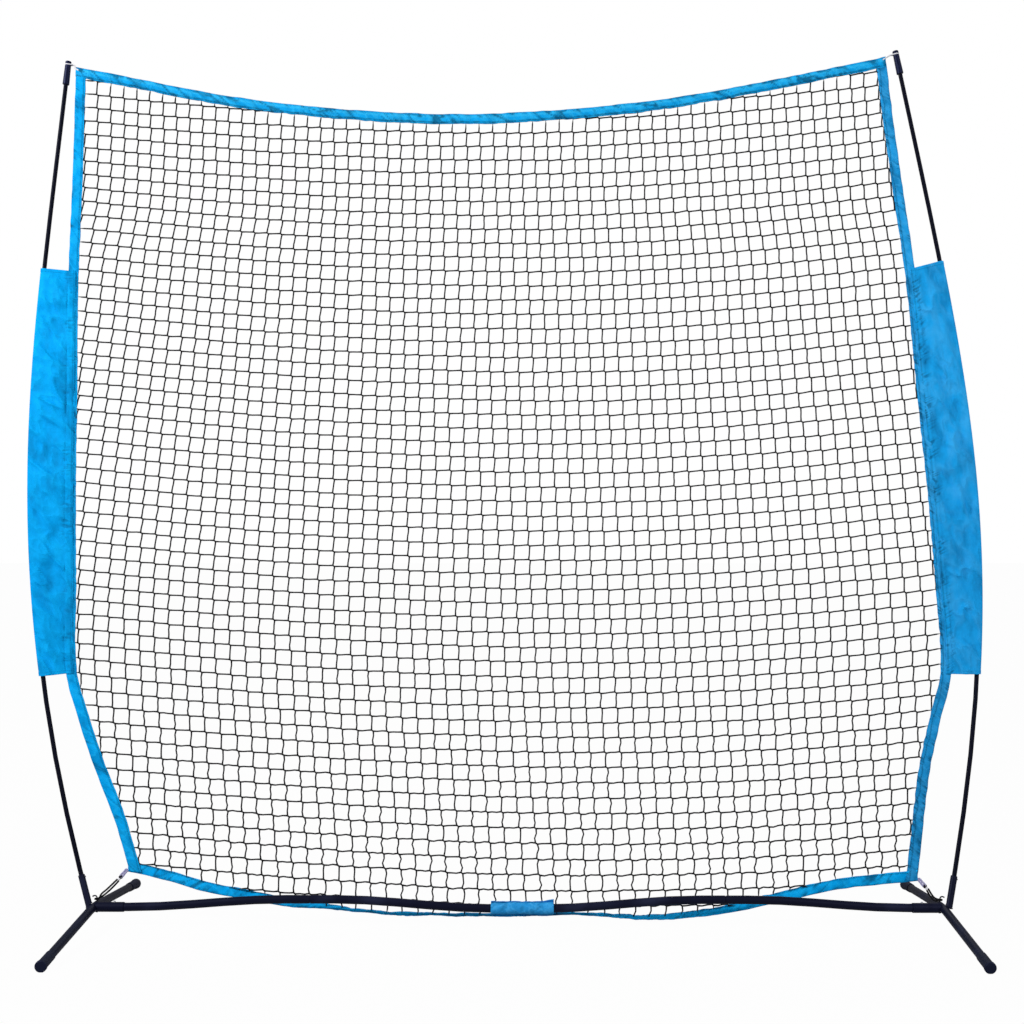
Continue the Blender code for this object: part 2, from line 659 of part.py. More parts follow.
def build_pole(shop, side, pole, drill, finishes):
    """Three rod sections, the two ferrules that join them, and the tip cap."""
    ends = (-ROD_DEPTH, *POLE_JOINTS, pole.length)
    half = FERRULE_LENGTH / 2
    names = ("lower", "middle", "upper")
    for k, label in enumerate(names):
        low = ends[k] + (CLEAR / 2 if k else 0.0)
        high = ends[k + 1] - (CLEAR / 2 if k < 2 else CLEAR)
        first = 0.014 if k == 0 else ends[k] + half + 0.003
        last = ends[k + 1] - (half + 0.003 if k < 2 else TIP_SEAT + 0.004)
        marks = [low] + [first + (last - first) * i / 5 for i in range(6)] + [high]
        points = [pole.at(m) for m in marks]
        if k == 0:
            points[1] = pole.mouth + pole.direction * first
        if k:
            a = pole.at(ends[k] - half - 0.003)
            points[0] = a.lerp(points[1], (low - ends[k] + half + 0.003) / (2 * half + 0.006))
        if k < 2:
            b = pole.at(ends[k + 1] + half + 0.003)
            share = (high - ends[k + 1] + half + 0.003) / (2 * half + 0.006)
            points[-1] = points[-2].lerp(b, share)
        rod = shop.pipe(f"{side.name}_pole_{label}", points, ROD_RADIUS, ROD_WALL,
                        finishes["glass_fibre"], 12)
        if k == 0:
            shop.cut(rod, drill)
    bore = socket_bore()
    outer = bore + FERRULE_WALL
    for k, joint in enumerate(POLE_JOINTS):
        a = pole.at(joint - half - 0.003)
        b = pole.at(joint + half + 0.003)
        profile = [(outer, half), (outer, -half), (bore, -half), (bore, half)]
        shop.turned(f"{side.name}_ferrule_{k + 1}", profile, finishes["steel"], 16, True,
                    (a + b) / 2, b - a)
    base = pole.at(pole.length - TIP_SEAT - 0.004)
    axis = (pole.at(pole.length) - base).normalized()
    top = GROOVE_HEIGHT + HEAD_HEIGHT
    sleeve = bore + TIP_WALL
    profile = [(0.0, top), (HEAD_RADIUS - 0.0016, top), (HEAD_RADIUS, top - 0.0014),
               (HEAD_RADIUS, GROOVE_HEIGHT), (GROOVE_RADIUS, GROOVE_HEIGHT - 0.0003),
               (GROOVE_RADIUS, 0.0005), (sleeve, 0.0), (sleeve + TIP_TAPER, -TIP_SLEEVE),
               (bore, -TIP_SLEEVE), (bore, -TIP_SLEEVE + TIP_SEAT), (0.0, -TIP_SLEEVE + TIP_SEAT)]
    crown = pole.at(pole.length) + axis * (TIP_SLEEVE - TIP_SEAT)
    shop.turned(f"{side.name}_tip_cap", profile, finishes["plastic"], 16, False, crown, axis)
    return crown, axis


def build_tie(shop, side, crown, axis, corner, finishes):
    """The cord loop in the tip cap's groove, tied to the net's top corner."""
    ring = GROOVE_RADIUS + TIE_RADIUS + CLEAR
    centre = crown + axis * (GROOVE_HEIGHT / 2)
    target = corner + Vector((side.sign * 0.002, 0.0, -0.001))
    towards = target - centre
    towards = (towards - axis * towards.dot(axis)).normalized()
    across = axis.cross(towards)
    spread = math.radians(62)
    arc = [centre + (towards * math.cos(a) + across * math.sin(a)) * ring
           for a in (spread + (2 * math.pi - 2 * spread) * k / 12 for k in range(13))]
    gap = across * (TIE_RADIUS + CLEAR)
    knee = centre + towards * (ring + TIP_WALL + 4 * TIE_RADIUS)
    points = [target + gap, knee + gap] + arc + [knee - gap, target - gap]
    shop.curve(f"{side.name}_corner_cord", points, TIE_RADIUS, finishes["white_cord"], 8)


def build_sleeve(shop, net, side, pole, finishes):
    """The wide side sleeve: a flat tube round the pole, sewn along the binding."""
    rows = SLEEVE_ROWS
    arcs = 6
    flats = 3
    radius = socket_bore() + FERRULE_WALL + SLEEVE_EASE + SLEEVE_CLOTH / 2
    bm = bmesh.new()
    rings = []
    for r in range(rows + 1):
        u = r / rows
        z = SLEEVE_BOTTOM + (SLEEVE_TOP - SLEEVE_BOTTOM) * u
        centre = pole.at_height(z + side.slant * u * u)
        edge = net.side_point(side.name, z, 0.0)
        edge.x += side.sign * (2 * CLEAR + SLEEVE_CLOTH / 2)
        run = edge - centre
        run.z = 0.0
        length = run.length
        run.normalize()
        face = Vector((run.y, -run.x, 0.0)) * side.sign
        if face.y > 0:
            face = -face
        reach = math.acos(min(1.0, (radius - SLEEVE_SEAM / 2) / length))
        ring = []
        for way in (1, -1):
            near = centre + (run * math.cos(reach) + face * way * math.sin(reach)) * radius
            far = edge + face * way * (SLEEVE_SEAM / 2)
            flat = []
            for k in range(flats):
                t = k / flats
                fold = math.sin(math.pi * (t + 0.05)) * FOLD_DEPTH
                fold *= 1.0 + 0.9 * math.sin(2 * math.pi * (3 * u + 0.8 * t) + way)
                flat.append(far.lerp(near, t) + face * way * fold)
            rounded = [centre + (run * math.cos(a) + face * way * math.sin(a)) * radius
                       for a in (reach + (math.pi - reach) * k / (arcs // 2)
                                 for k in range(arcs // 2))]
            half_ring = flat + rounded
            ring += half_ring if way == 1 else [centre - run * radius] + half_ring[::-1]
        rings.append([bm.verts.new(p) for p in ring])
    count = len(rings[0])
    for low, high in zip(rings, rings[1:]):
        for k in range(count):
            n = (k + 1) % count
            bm.faces.new((low[k], low[n], high[n], high[k]))
    obj = shop.mesh_object(f"{side.name}_pole_sleeve", bm, finishes["cloth"])
    shop.solidify(obj, SLEEVE_CLOTH, 0.0)


def build_cloth(shop, net, finishes):
    """Top hem, bottom hem and the two side bindings."""
    count = 25
    hem_low = [net.hem_point(k / (count * 2), -BOTTOM_WIDTH / 2) for k in range(count * 2 + 1)]
    hem_high = [net.hem_point(k / (count * 2), BOTTOM_WIDTH / 2) for k in range(count * 2 + 1)]
    shop.strip("bottom_hem", hem_low, hem_high, CLOTH, finishes["cloth"])
    top_high = [net.top_point(k / count, 0.0) for k in range(count + 1)]
    top_low = [net.top_point(k / count, TOP_WIDTH) for k in range(count + 1)]
    shop.strip("top_hem", top_low, top_high, CLOTH, finishes["cloth"])
    for side in SIDES:
        outer, inner = side_rows(net, side)
        shop.strip(f"{side.name}_binding", outer, inner, CLOTH, finishes["cloth"])


def side_limits(net, side, inset):
    """Heights between which a side binding runs, a way in from its outer edge."""
    gap = CLEAR * 2
    share = inset / HUB_SPACING
    if side.sign < 0:
        low = net.hem_point(share, BOTTOM_WIDTH / 2).z
        high = net.top_point(share, TOP_WIDTH).z
    else:
        low = net.hem_point(1.0 - share, BOTTOM_WIDTH / 2).z
        high = net.top_point(1.0 - share, TOP_WIDTH).z
    return low + gap, high - gap


def side_rows(net, side):
    """Outer and inner edge of a side binding, with a station at each row of the sleeve."""
    rows = []
    for inset in (0.0, SIDE_WIDTH):
        low, high = side_limits(net, side, inset)
        heights = [low + (SLEEVE_BOTTOM - low) * k / ROWS_BELOW for k in range(ROWS_BELOW)]
        heights += [SLEEVE_BOTTOM + (SLEEVE_TOP - SLEEVE_BOTTOM) * k / SLEEVE_ROWS
                    for k in range(SLEEVE_ROWS)]
        heights += [SLEEVE_TOP + (high - SLEEVE_TOP) * k / ROWS_ABOVE for k in range(ROWS_ABOVE + 1)]
        rows.append([net.side_point(side.name, height, inset) for height in heights])
    return rows


def build_mesh(shop, net, finishes):
    """The square mesh: a grid between the four bound edges, made into strands."""
    gap = CLEAR + NET_EASE
    inset = SIDE_WIDTH + gap

    def across(side, v):
        low, high = side_limits(net, side, inset)
        return net.side_point(side.name, low + gap + (high - low - 2 * gap) * v, inset)

    starts = {}
    for side in SIDES:
        starts[side.name] = inset / (net.corners["right"].x - net.corners["left"].x)

    def along_top(u):
        f = starts["left"] + (1.0 - starts["left"] - starts["right"]) * u
        return net.top_point(f, TOP_WIDTH + gap)

    def along_bottom(u):
        f = starts["left"] + (1.0 - starts["left"] - starts["right"]) * u
        return net.hem_point(f, BOTTOM_WIDTH / 2 + gap)

    corner = {(0, 0): across(LEFT, 0.0), (0, 1): across(LEFT, 1.0), (1, 0): across(RIGHT, 0.0),
              (1, 1): across(RIGHT, 1.0)}
    bottom_ends = (along_bottom(0.0), along_bottom(1.0))
    top_ends = (along_top(0.0), along_top(1.0))
    bm = bmesh.new()
    grid = []
    for j in range(GAPS_DOWN + 1):
        v = j / GAPS_DOWN
        row = []
        for i in range(GAPS_ACROSS + 1):
            u = i / GAPS_ACROSS
            low = along_bottom(u) + (corner[0, 0] - bottom_ends[0]) * (1 - u) + (
                corner[1, 0] - bottom_ends[1]) * u
            high = along_top(u) + (corner[0, 1] - top_ends[0]) * (1 - u) + (
                corner[1, 1] - top_ends[1]) * u
            sides = across(LEFT, v) * (1 - u) + across(RIGHT, v) * u
            corners = ((corner[0, 0] * (1 - u) + corner[1, 0] * u) * (1 - v)
                       + (corner[0, 1] * (1 - u) + corner[1, 1] * u) * v)
            row.append(bm.verts.new(low * (1 - v) + high * v + sides - corners))
        grid.append(row)
    for j in range(GAPS_DOWN):
        for i in range(GAPS_ACROSS):
            bm.faces.new((grid[j][i], grid[j][i + 1], grid[j + 1][i + 1], grid[j + 1][i]))
    obj = shop.mesh_object("net_mesh", bm, finishes["twine"])
    strands = obj.modifiers.new("strands", "WIREFRAME")
    strands.thickness = TWINE
    strands.use_boundary = True
    strands.use_even_offset = True
    strands.use_replace = True


def build_wrap(shop, finishes):
    """The hook-and-loop wrap round the crossbar's middle joint, with its loose end lifted."""
    inner = BAR_RADIUS + 1.8 * CLEAR + WRAP_CLOTH / 2
    centre = HUB_HEIGHT - BAR_SAG
    turn = math.radians(428)
    count = 34
    section = []
    for k in range(count + 1):
        angle = math.radians(-150) + turn * k / count
        radius = inner + WRAP_LAP * turn / (2 * math.pi) * k / count
        section.append((radius * math.cos(angle), centre + radius * math.sin(angle)))
    last = Vector(section[-1])
    section.append(tuple(last + Vector((-0.0006, 0.0030))))
    half = WRAP_LENGTH / 2
    first = [Vector((WRAP_SHIFT - half, y, z)) for y, z in section]
    second = [Vector((WRAP_SHIFT + half, y, z)) for y, z in section]
    shop.strip("crossbar_wrap", first, second, WRAP_CLOTH, finishes["cloth"])


def build_corner(shop, net, side, foot, finishes):
    """Lower corner: elastic round the hook, crimp bead and the clear clip on the hem."""
    fraction = 0.0 if side.sign < 0 else 1.0
    corner = net.hem_point(fraction, 0.0)
    stem = foot + Vector((0.0, 0.0, 0.0040))
    slant = abs((stem - corner).normalized().x)
    corner.x += side.sign * (CLIP_WIDTH / 2 * (1.15 - slant) + CLEAR)
    slack = 0.004 if side.sign < 0 else 0.010
    line = (stem - corner).normalized()
    hang = Vector((0.0, 0.0, -1.0))
    clip_end = corner + (line + hang * 0.15).normalized() * CLIP_LENGTH
    clip_line = (clip_end - corner).normalized()
    build_clip(shop, side, corner, clip_line, finishes)
    bead_top = clip_end + clip_line * CLEAR
    bead_low = bead_top + clip_line * BEAD_LENGTH
    r = BEAD_RADIUS
    profile = [(0.0, BEAD_LENGTH), (r * 0.75, BEAD_LENGTH), (r, BEAD_LENGTH * 0.78),
               (r, BEAD_LENGTH * 0.22), (r * 0.75, 0.0), (0.0, 0.0)]
    shop.turned(f"{side.name}_crimp_bead", profile, finishes["white_cord"], 12, False, bead_top,
                clip_line)
    away = (stem - bead_low).normalized()
    across = away.cross(Vector((0, 0, 1))).normalized()
    ring = HOOK_RADIUS + ELASTIC_RADIUS + CLEAR * 2
    start = bead_low + clip_line * CLEAR
    half = ELASTIC_RADIUS + CLEAR
    sag = hang * slack
    flat = Vector((away.x, away.y, 0.0)).normalized()
    side_way = flat.cross(Vector((0, 0, 1))).normalized()
    route = [start + across * half, start.lerp(stem, 0.4) + across * half * 2.0 + sag,
             stem + side_way * ring - flat * 0.0035, stem + side_way * ring * 0.75 + flat * ring * 0.7,
             stem + flat * ring, stem - side_way * ring * 0.75 + flat * ring * 0.7,
             stem - side_way * ring - flat * 0.0035, start.lerp(stem, 0.4) - across * half * 2.0 + sag,
             start - across * half]
    shop.curve(f"{side.name}_corner_elastic", smooth_points(route, 31), ELASTIC_RADIUS,
               finishes["elastic"], 8)


def build_clip(shop, side, corner, line, finishes):
    """A flat clear clip with rounded ends and a slot through it."""
    outline = []
    half = CLIP_WIDTH / 2
    for end, base in ((1, CLIP_LENGTH - half), (-1, half)):
        for k in range(7):
            angle = math.pi * k / 6 - math.pi / 2
            outline.append((base + end * half * math.cos(angle), end * half * math.sin(angle)))
    slot = []
    hole = half * 0.42
    for end, base in ((1, CLIP_LENGTH * 0.62), (-1, CLIP_LENGTH * 0.38)):
        for k in range(5):
            angle = math.pi * k / 4 - math.pi / 2
            slot.append((base + end * hole * math.cos(angle), end * hole * math.sin(angle)))
    data = bpy.data.curves.new(f"{side.name}_corner_clip", "CURVE")
    data.dimensions = "2D"
    data.fill_mode = "BOTH"
    data.extrude = CLIP_THICK / 2
    for ring in (outline, slot):
        loop = data.splines.new("POLY")
        loop.points.add(len(ring) - 1)
        loop.use_cyclic_u = True
        for k, (x, y) in enumerate(ring):
            loop.points[k].co = (x, y, 0.0, 1.0)
    obj = bpy.data.objects.new(data.name, data)
    shop.parts.objects.link(obj)
    obj.parent = shop.root
    data.materials.append(finishes["clear"])
    face = Vector((0.0, -1.0, 0.0))
    up = face.cross(line).normalized()
    face = line.cross(up).normalized()
    obj.location = corner
    obj.rotation_euler = matrix_of(line, up, face).to_euler()


def matrix_of(x, y, z):
    """A rotation whose columns are three unit vectors."""
    rows = [[x[k], y[k], z[k]] for k in range(3)]
    matrix = Vector((0, 0, 0)).to_track_quat("Z", "Y").to_matrix()
    for k in range(3):
        matrix[k] = rows[k]
    return matrix


def main():
    """Builds the whole net in its own frame, with the origin under the middle of its box."""
    shop = Workshop()
    finishes = {
        "steel": material("black_powder_coat", (0.012, 0.013, 0.018), 0.42),
        "bright": material("zinc_steel", (0.55, 0.56, 0.58), 0.3, 1.0),
        "rubber": material("black_rubber", (0.008, 0.008, 0.010), 0.75),
        "plastic": material("black_plastic", (0.014, 0.015, 0.020), 0.5),
        "glass_fibre": material("black_glass_fibre", (0.010, 0.011, 0.015), 0.38),
        "cloth": material("blue_polyester", (0.002, 0.35, 0.87), 0.8),
        "twine": material("black_twine", (0.015, 0.015, 0.016), 0.85),
        "white_cord": material("white_cord", (0.8, 0.8, 0.82), 0.7),
        "elastic": material("black_elastic", (0.01, 0.01, 0.011), 0.8),
        "clear": material("clear_plastic", (0.6, 0.6, 0.78), 0.25),
    }
    poles = {side.name: Pole(side) for side in SIDES}
    net = NetShape(poles)
    drills = {}
    for side in SIDES:
        pole = poles[side.name]
        foot = build_legs(shop, side, finishes)
        saddle, drill, centre, stub_outer = build_stub(shop, side, finishes)
        drills[side.name] = drill
        socket_drill = build_locks(shop, side, pole, centre, stub_outer, finishes)
        build_socket(shop, side, pole, saddle, socket_drill, finishes)
        crown, axis = build_pole(shop, side, pole, socket_drill, finishes)
        build_tie(shop, side, crown, axis, net.corners[side.name], finishes)
        build_sleeve(shop, net, side, pole, finishes)
        build_corner(shop, net, side, foot, finishes)
    build_crossbar(shop, finishes, drills)
    build_wrap(shop, finishes)
    build_cloth(shop, net, finishes)
    build_mesh(shop, net, finishes)
    widest = [side.sign * max(side.sign * point.x for point in poles[side.name].table)
              for side in SIDES]
    shop.root.location.x = -sum(widest) / 2


main()
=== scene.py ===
"""Looks of a free-standing cricket backstop net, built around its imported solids.

Two black poles bow outwards from a steel base and hold a knotless square mesh that is
bound in blue polyester. Every piece here is in metres, in the frame of the solids.
"""

import json
import logging
import math
from dataclasses import dataclass, replace
from enum import Enum
from typing import Any, Optional, Sequence, Union

import bpy
import numpy as np
from mathutils import Euler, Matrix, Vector

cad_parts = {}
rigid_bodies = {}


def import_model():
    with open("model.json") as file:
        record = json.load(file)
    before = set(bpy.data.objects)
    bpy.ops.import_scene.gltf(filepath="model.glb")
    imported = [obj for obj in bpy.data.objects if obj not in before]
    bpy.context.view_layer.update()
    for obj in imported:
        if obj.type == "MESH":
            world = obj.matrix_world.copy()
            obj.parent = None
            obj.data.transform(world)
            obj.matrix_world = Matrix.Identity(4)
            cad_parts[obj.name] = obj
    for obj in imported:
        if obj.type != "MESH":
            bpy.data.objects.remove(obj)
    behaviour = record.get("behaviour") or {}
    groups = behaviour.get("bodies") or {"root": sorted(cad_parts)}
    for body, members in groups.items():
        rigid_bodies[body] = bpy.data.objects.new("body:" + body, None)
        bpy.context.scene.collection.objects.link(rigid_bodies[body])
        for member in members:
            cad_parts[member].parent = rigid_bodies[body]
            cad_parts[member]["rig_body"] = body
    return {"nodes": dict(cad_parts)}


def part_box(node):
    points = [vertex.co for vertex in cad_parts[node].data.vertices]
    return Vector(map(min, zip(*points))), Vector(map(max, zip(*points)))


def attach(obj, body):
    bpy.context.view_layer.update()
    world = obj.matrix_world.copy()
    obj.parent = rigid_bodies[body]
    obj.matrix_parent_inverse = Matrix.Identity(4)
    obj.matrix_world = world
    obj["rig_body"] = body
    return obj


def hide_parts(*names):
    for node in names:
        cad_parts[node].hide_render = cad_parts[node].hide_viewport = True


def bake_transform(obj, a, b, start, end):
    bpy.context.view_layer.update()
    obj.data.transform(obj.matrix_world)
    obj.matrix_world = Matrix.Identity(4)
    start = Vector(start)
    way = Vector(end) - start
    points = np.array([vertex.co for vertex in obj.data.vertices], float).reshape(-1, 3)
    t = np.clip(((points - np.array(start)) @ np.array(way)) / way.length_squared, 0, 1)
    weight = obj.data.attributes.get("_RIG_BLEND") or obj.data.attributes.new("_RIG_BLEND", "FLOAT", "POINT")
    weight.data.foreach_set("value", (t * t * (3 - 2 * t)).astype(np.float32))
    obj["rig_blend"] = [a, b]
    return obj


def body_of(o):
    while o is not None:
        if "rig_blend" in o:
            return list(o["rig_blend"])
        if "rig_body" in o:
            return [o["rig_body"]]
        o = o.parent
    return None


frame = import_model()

LOG = logging.getLogger("backstop_net")
BODY = "net_assembly"
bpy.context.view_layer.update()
CLEAR = 0.0003
FRONT = np.array([0.0, -1.0, 0.0])
BACK = np.array([0.0, 1.0, 0.0])
UP = np.array([0.0, 0.0, 1.0])
WHITE = (1.0, 1.0, 1.0, 1.0)


def placed(name: str, data: bpy.types.ID) -> bpy.types.Object:
    """Puts a new object in the scene.

    Args:
        name: Its name.
        data: Its mesh, lamp or camera.

    Returns:
        The object.
    """
    obj = bpy.data.objects.new(name, data)
    bpy.context.scene.collection.objects.link(obj)
    return obj


def facing(way: Vector) -> Euler:
    """The turn that points a camera or lamp along a way."""
    return way.to_track_quat("-Z", "Y").to_euler()


# Shader graphs


class Value:
    """One socket of a node tree, with arithmetic that adds Math nodes."""

    def __init__(self, graph: "Tree", socket: bpy.types.NodeSocket) -> None:
        """Wraps a socket.

        Args:
            graph: The tree that the socket belongs to.
            socket: An output socket.
        """
        self.graph = graph
        self.socket = socket

    def math(self, operation: str, *others: Union["Value", float]) -> "Value":
        """Adds a Math node that starts with this value.

        Args:
            operation: The node's operation.
            others: The remaining inputs.

        Returns:
            The node's result.
        """
        return self.graph.math(operation, self, *others)

    def __add__(self, other: Union["Value", float]) -> "Value":
        """Sum."""
        return self.math("ADD", other)

    __radd__ = __add__

    def __sub__(self, other: Union["Value", float]) -> "Value":
        """Difference."""
        return self.math("SUBTRACT", other)

    def __rsub__(self, other: float) -> "Value":
        """Difference from a number."""
        return self.graph.math("SUBTRACT", other, self)

    def __mul__(self, other: Union["Value", float]) -> "Value":
        """Product."""
        return self.math("MULTIPLY", other)

    __rmul__ = __mul__

    def __truediv__(self, other: Union["Value", float]) -> "Value":
        """Quotient."""
        return self.math("DIVIDE", other)

    def __pow__(self, other: float) -> "Value":
        """Power."""
        return self.math("POWER", other)

    def __gt__(self, other: float) -> "Value":
        """1 where greater, else 0."""
        return self.math("GREATER_THAN", other)

    def __lt__(self, other: float) -> "Value":
        """1 where less, else 0."""
        return self.math("LESS_THAN", other)

    def sine(self) -> "Value":
        """Sine."""
        return self.math("SINE")

    def absolute(self) -> "Value":
        """Size without sign."""
        return self.math("ABSOLUTE")

    def band(self, middle: float, half: float) -> "Value":
        """1 within a distance of a middle value, else 0."""
        return (self - middle).absolute() < half

    def ramp(self, low: float, high: float) -> "Value":
        """A smooth rise from 0 to 1.

        Args:
            low: Where it starts.
            high: Where it ends, which may be less.

        Returns:
            The risen value.
        """
        made = self.graph.add(
            "ShaderNodeMapRange",
            {"interpolation_type": "SMOOTHSTEP"},
            {"Value": self, "From Min": low, "From Max": high},
        )
        return Value(self.graph, made.outputs[0])


class Tree:
    """Any node tree, with one way to add a node."""

    def __init__(self, tree: bpy.types.NodeTree) -> None:
        """Wraps a node tree."""
        self.tree = tree

    def add(
        self,
        kind: str,
        settings: Optional[dict[str, Any]] = None,
        sockets: Optional[dict[Union[str, int], Any]] = None,
    ) -> bpy.types.Node:
        """Adds any node.

        Args:
            kind: The node's type.
            settings: Its own settings.
            sockets: A value or link for each input that isn't left at its default.

        Returns:
            The new node.
        """
        node = self.tree.nodes.new(kind)
        for name, setting in (settings or {}).items():
            setattr(node, name, setting)
        for name, wanted in (sockets or {}).items():
            self.feed(node.inputs[name], wanted)
        return node

    def feed(self, socket: bpy.types.NodeSocket, wanted: Any) -> None:
        """Links or sets one input socket.

        Args:
            socket: The input.
            wanted: A value or socket to link, or a number or colour to set.
        """
        if isinstance(wanted, Value):
            self.tree.links.new(wanted.socket, socket)
        elif isinstance(wanted, bpy.types.NodeSocket):
            self.tree.links.new(wanted, socket)
        else:
            socket.default_value = wanted

    def math(self, operation: str, *inputs: Union[Value, float]) -> Value:
        """Adds a Math node.

        Args:
            operation: What it does.
            inputs: Its inputs, in order.

        Returns:
            Its result.
        """
        node = self.add("ShaderNodeMath", {"operation": operation}, dict(enumerate(inputs)))
        return Value(self, node.outputs[0])


class Graph(Tree):
    """The node tree of one material, with its Principled shader."""

    def __init__(self, name: str) -> None:
        """Makes an empty material.

        Args:
            name: The material's name.
        """
        self.made = bpy.data.materials.new(name)
        self.made.use_nodes = True
        super().__init__(self.made.node_tree)
        self.shader = self.tree.nodes["Principled BSDF"]

    def mix(self, factor: Union[Value, float], first: Any, second: Any) -> bpy.types.NodeSocket:
        """Blends two colours.

        Args:
            factor: 0 for the first and 1 for the second.
            first: A colour or a colour socket.
            second: A colour or a colour socket.

        Returns:
            The blended colour's socket.
        """
        node = self.add("ShaderNodeMix", {"data_type": "RGBA"})
        self.feed(node.inputs[0], factor)
        self.feed(node.inputs[6], first)
        self.feed(node.inputs[7], second)
        return node.outputs[2]

    def place(self) -> bpy.types.NodeSocket:
        """The point's place in the object's own frame."""
        return self.add("ShaderNodeTexCoord").outputs["Object"]

    def cloth(self) -> tuple[Value, Value]:
        """Reads the UV map of a cloth or cord.

        Returns:
            Distance across and along it, in metres.
        """
        found = self.add("ShaderNodeUVMap", {"uv_map": "cloth"})
        parts = self.add("ShaderNodeSeparateXYZ", None, {0: found.outputs[0]})
        return Value(self, parts.outputs[0]), Value(self, parts.outputs[1])

    def noise(
        self, scale: float, detail: float = 2.0, stretch: Sequence[float] = (1, 1, 1), lean: float = 0.0
    ) -> Value:
        """Smooth noise from 0 to 1.

        Args:
            scale: Cells per metre.
            detail: Octaves.
            stretch: Factor on each axis.
            lean: Turn of those axes about Y, in radians.

        Returns:
            The noise.
        """
        spot = self.add(
            "ShaderNodeMapping",
            {"vector_type": "TEXTURE"},
            {"Vector": self.place(), "Rotation": (0.0, lean, 0.0), "Scale": [1.0 / s for s in stretch]},
        )
        node = self.add(
            "ShaderNodeTexNoise", None, {"Vector": spot.outputs[0], "Scale": scale, "Detail": detail}
        )
        return Value(self, node.outputs[0])

    def bump(self, height: Value, distance: float, strength: float = 1.0) -> None:
        """Feeds the shader's normal with a relief.

        Args:
            height: The relief, in units of the distance.
            distance: That distance, in metres.
            strength: Share of the relief that shows.
        """
        node = self.add(
            "ShaderNodeBump", None, {"Height": height, "Distance": distance, "Strength": strength}
        )
        self.feed(self.shader.inputs["Normal"], node.outputs[0])

    def set(self, **sockets: Any) -> None:
        """Sets sockets of the Principled shader, with _ for each space in a name."""
        for name, wanted in sockets.items():
            self.feed(self.shader.inputs[name.replace("_", " ")], wanted)


def rgb(red: int, green: int, blue: int) -> tuple[float, float, float, float]:
    """A linear colour from the three numbers of a screen colour.

    Args:
        red: From 0 to 255.
        green: From 0 to 255.
        blue: From 0 to 255.

    Returns:
        The colour, with an alpha of 1.
    """

    def linear(level: int) -> float:
        """The light of one channel, from 0 to 1."""
        share = level / 255
        return share / 12.92 if share <= 0.04045 else ((share + 0.055) / 1.055) ** 2.4

    return linear(red), linear(green), linear(blue), 1.0


COOL_SHEEN = rgb(205, 214, 255)


class Finish:
    """What every finish shares: a material with its name, whose graph it paints."""

    name: str

    def material(self) -> bpy.types.Material:
        """Builds the material.

        Returns:
            The new material.
        """
        g = Graph(self.name)
        self.paint(g)
        return g.made

    def paint(self, g: Graph) -> None:
        """Fills the graph of the material."""
        raise NotImplementedError


@dataclass(frozen=True)
class PowderCoat(Finish):
    """Black powder coat on steel: a fine pebble, a satin shine and a little dust."""

    name: str = "powder_coat"
    colour: tuple[float, ...] = rgb(16, 18, 38)
    dusty: tuple[float, ...] = rgb(54, 60, 92)
    pebble: float = 1500.0

    def paint(self, g: Graph) -> None:
        """Fills the graph of the material.

        Args:
            g: The graph.
        """
        dust = g.noise(9.0, 4.0).ramp(0.45, 0.8)
        pebble = g.noise(self.pebble, 1.0)
        g.set(Base_Color=g.mix(dust * 0.35, self.colour, self.dusty))
        g.set(Roughness=0.40 + dust * 0.14 + pebble * 0.06, Specular_IOR_Level=0.13)
        g.set(Specular_Tint=COOL_SHEEN)
        g.bump(pebble, 0.00006, 0.5)


@dataclass(frozen=True)
class GlassFibre(Finish):
    """Black pultruded glass-fibre rod with fine lines along it."""

    name: str = "glass_fibre_rod"
    colour: tuple[float, ...] = rgb(8, 9, 22)
    streak: tuple[float, ...] = rgb(26, 29, 46)

    def paint(self, g: Graph) -> None:
        """Fills the graph of the material.

        Args:
            g: The graph.
        """
        lines = g.noise(900.0, 2.0, (1.0, 1.0, 0.02))
        worn = g.noise(14.0, 3.0).ramp(0.5, 0.85)
        g.set(Base_Color=g.mix(lines.ramp(0.5, 0.8) * 0.35 + worn * 0.2, self.colour, self.streak))
        g.set(Roughness=0.46 + worn * 0.16, Specular_IOR_Level=0.08, Specular_Tint=COOL_SHEEN)
        g.bump(lines, 0.00008, 0.5)


@dataclass(frozen=True)
class Moulded(Finish):
    """Matt moulded rubber or plastic with a spark-eroded grain."""

    name: str
    colour: tuple[float, ...]
    scuffed: tuple[float, ...]
    roughness: float
    grain: float = 1100.0

    def paint(self, g: Graph) -> None:
        """Fills the graph of the material.

        Args:
            g: The graph.
        """
        grain = g.noise(self.grain, 2.0)
        scuff = g.noise(45.0, 4.0).ramp(0.52, 0.78)
        g.set(Base_Color=g.mix(scuff * 0.4, self.colour, self.scuffed))
        g.set(Roughness=self.roughness + scuff * 0.1 - grain * 0.05, Specular_IOR_Level=0.3)
        g.set(Specular_Tint=rgb(176, 190, 255))
        g.bump(grain, 0.00008, 0.6)


@dataclass(frozen=True)
class Zinc(Finish):
    """Bright zinc on a small turned or stamped steel piece."""

    name: str = "zinc_plate"
    colour: tuple[float, ...] = rgb(190, 192, 198)

    def paint(self, g: Graph) -> None:
        """Fills the graph of the material.

        Args:
            g: The graph.
        """
        bloom = g.noise(400.0, 3.0)
        g.set(Base_Color=g.mix(bloom * 0.5, self.colour, rgb(150, 152, 160)), Metallic=1.0)
        g.set(Roughness=0.24 + bloom * 0.16)
        g.bump(bloom, 0.00004, 0.4)


class Stitching(Enum):
    """Where a cloth piece shows its stitches, as distances across it in metres."""

    BINDING = (0.0045, 0.0485)
    SLEEVE = (0.0040,)
    WRAP = (0.0040, 0.0050)


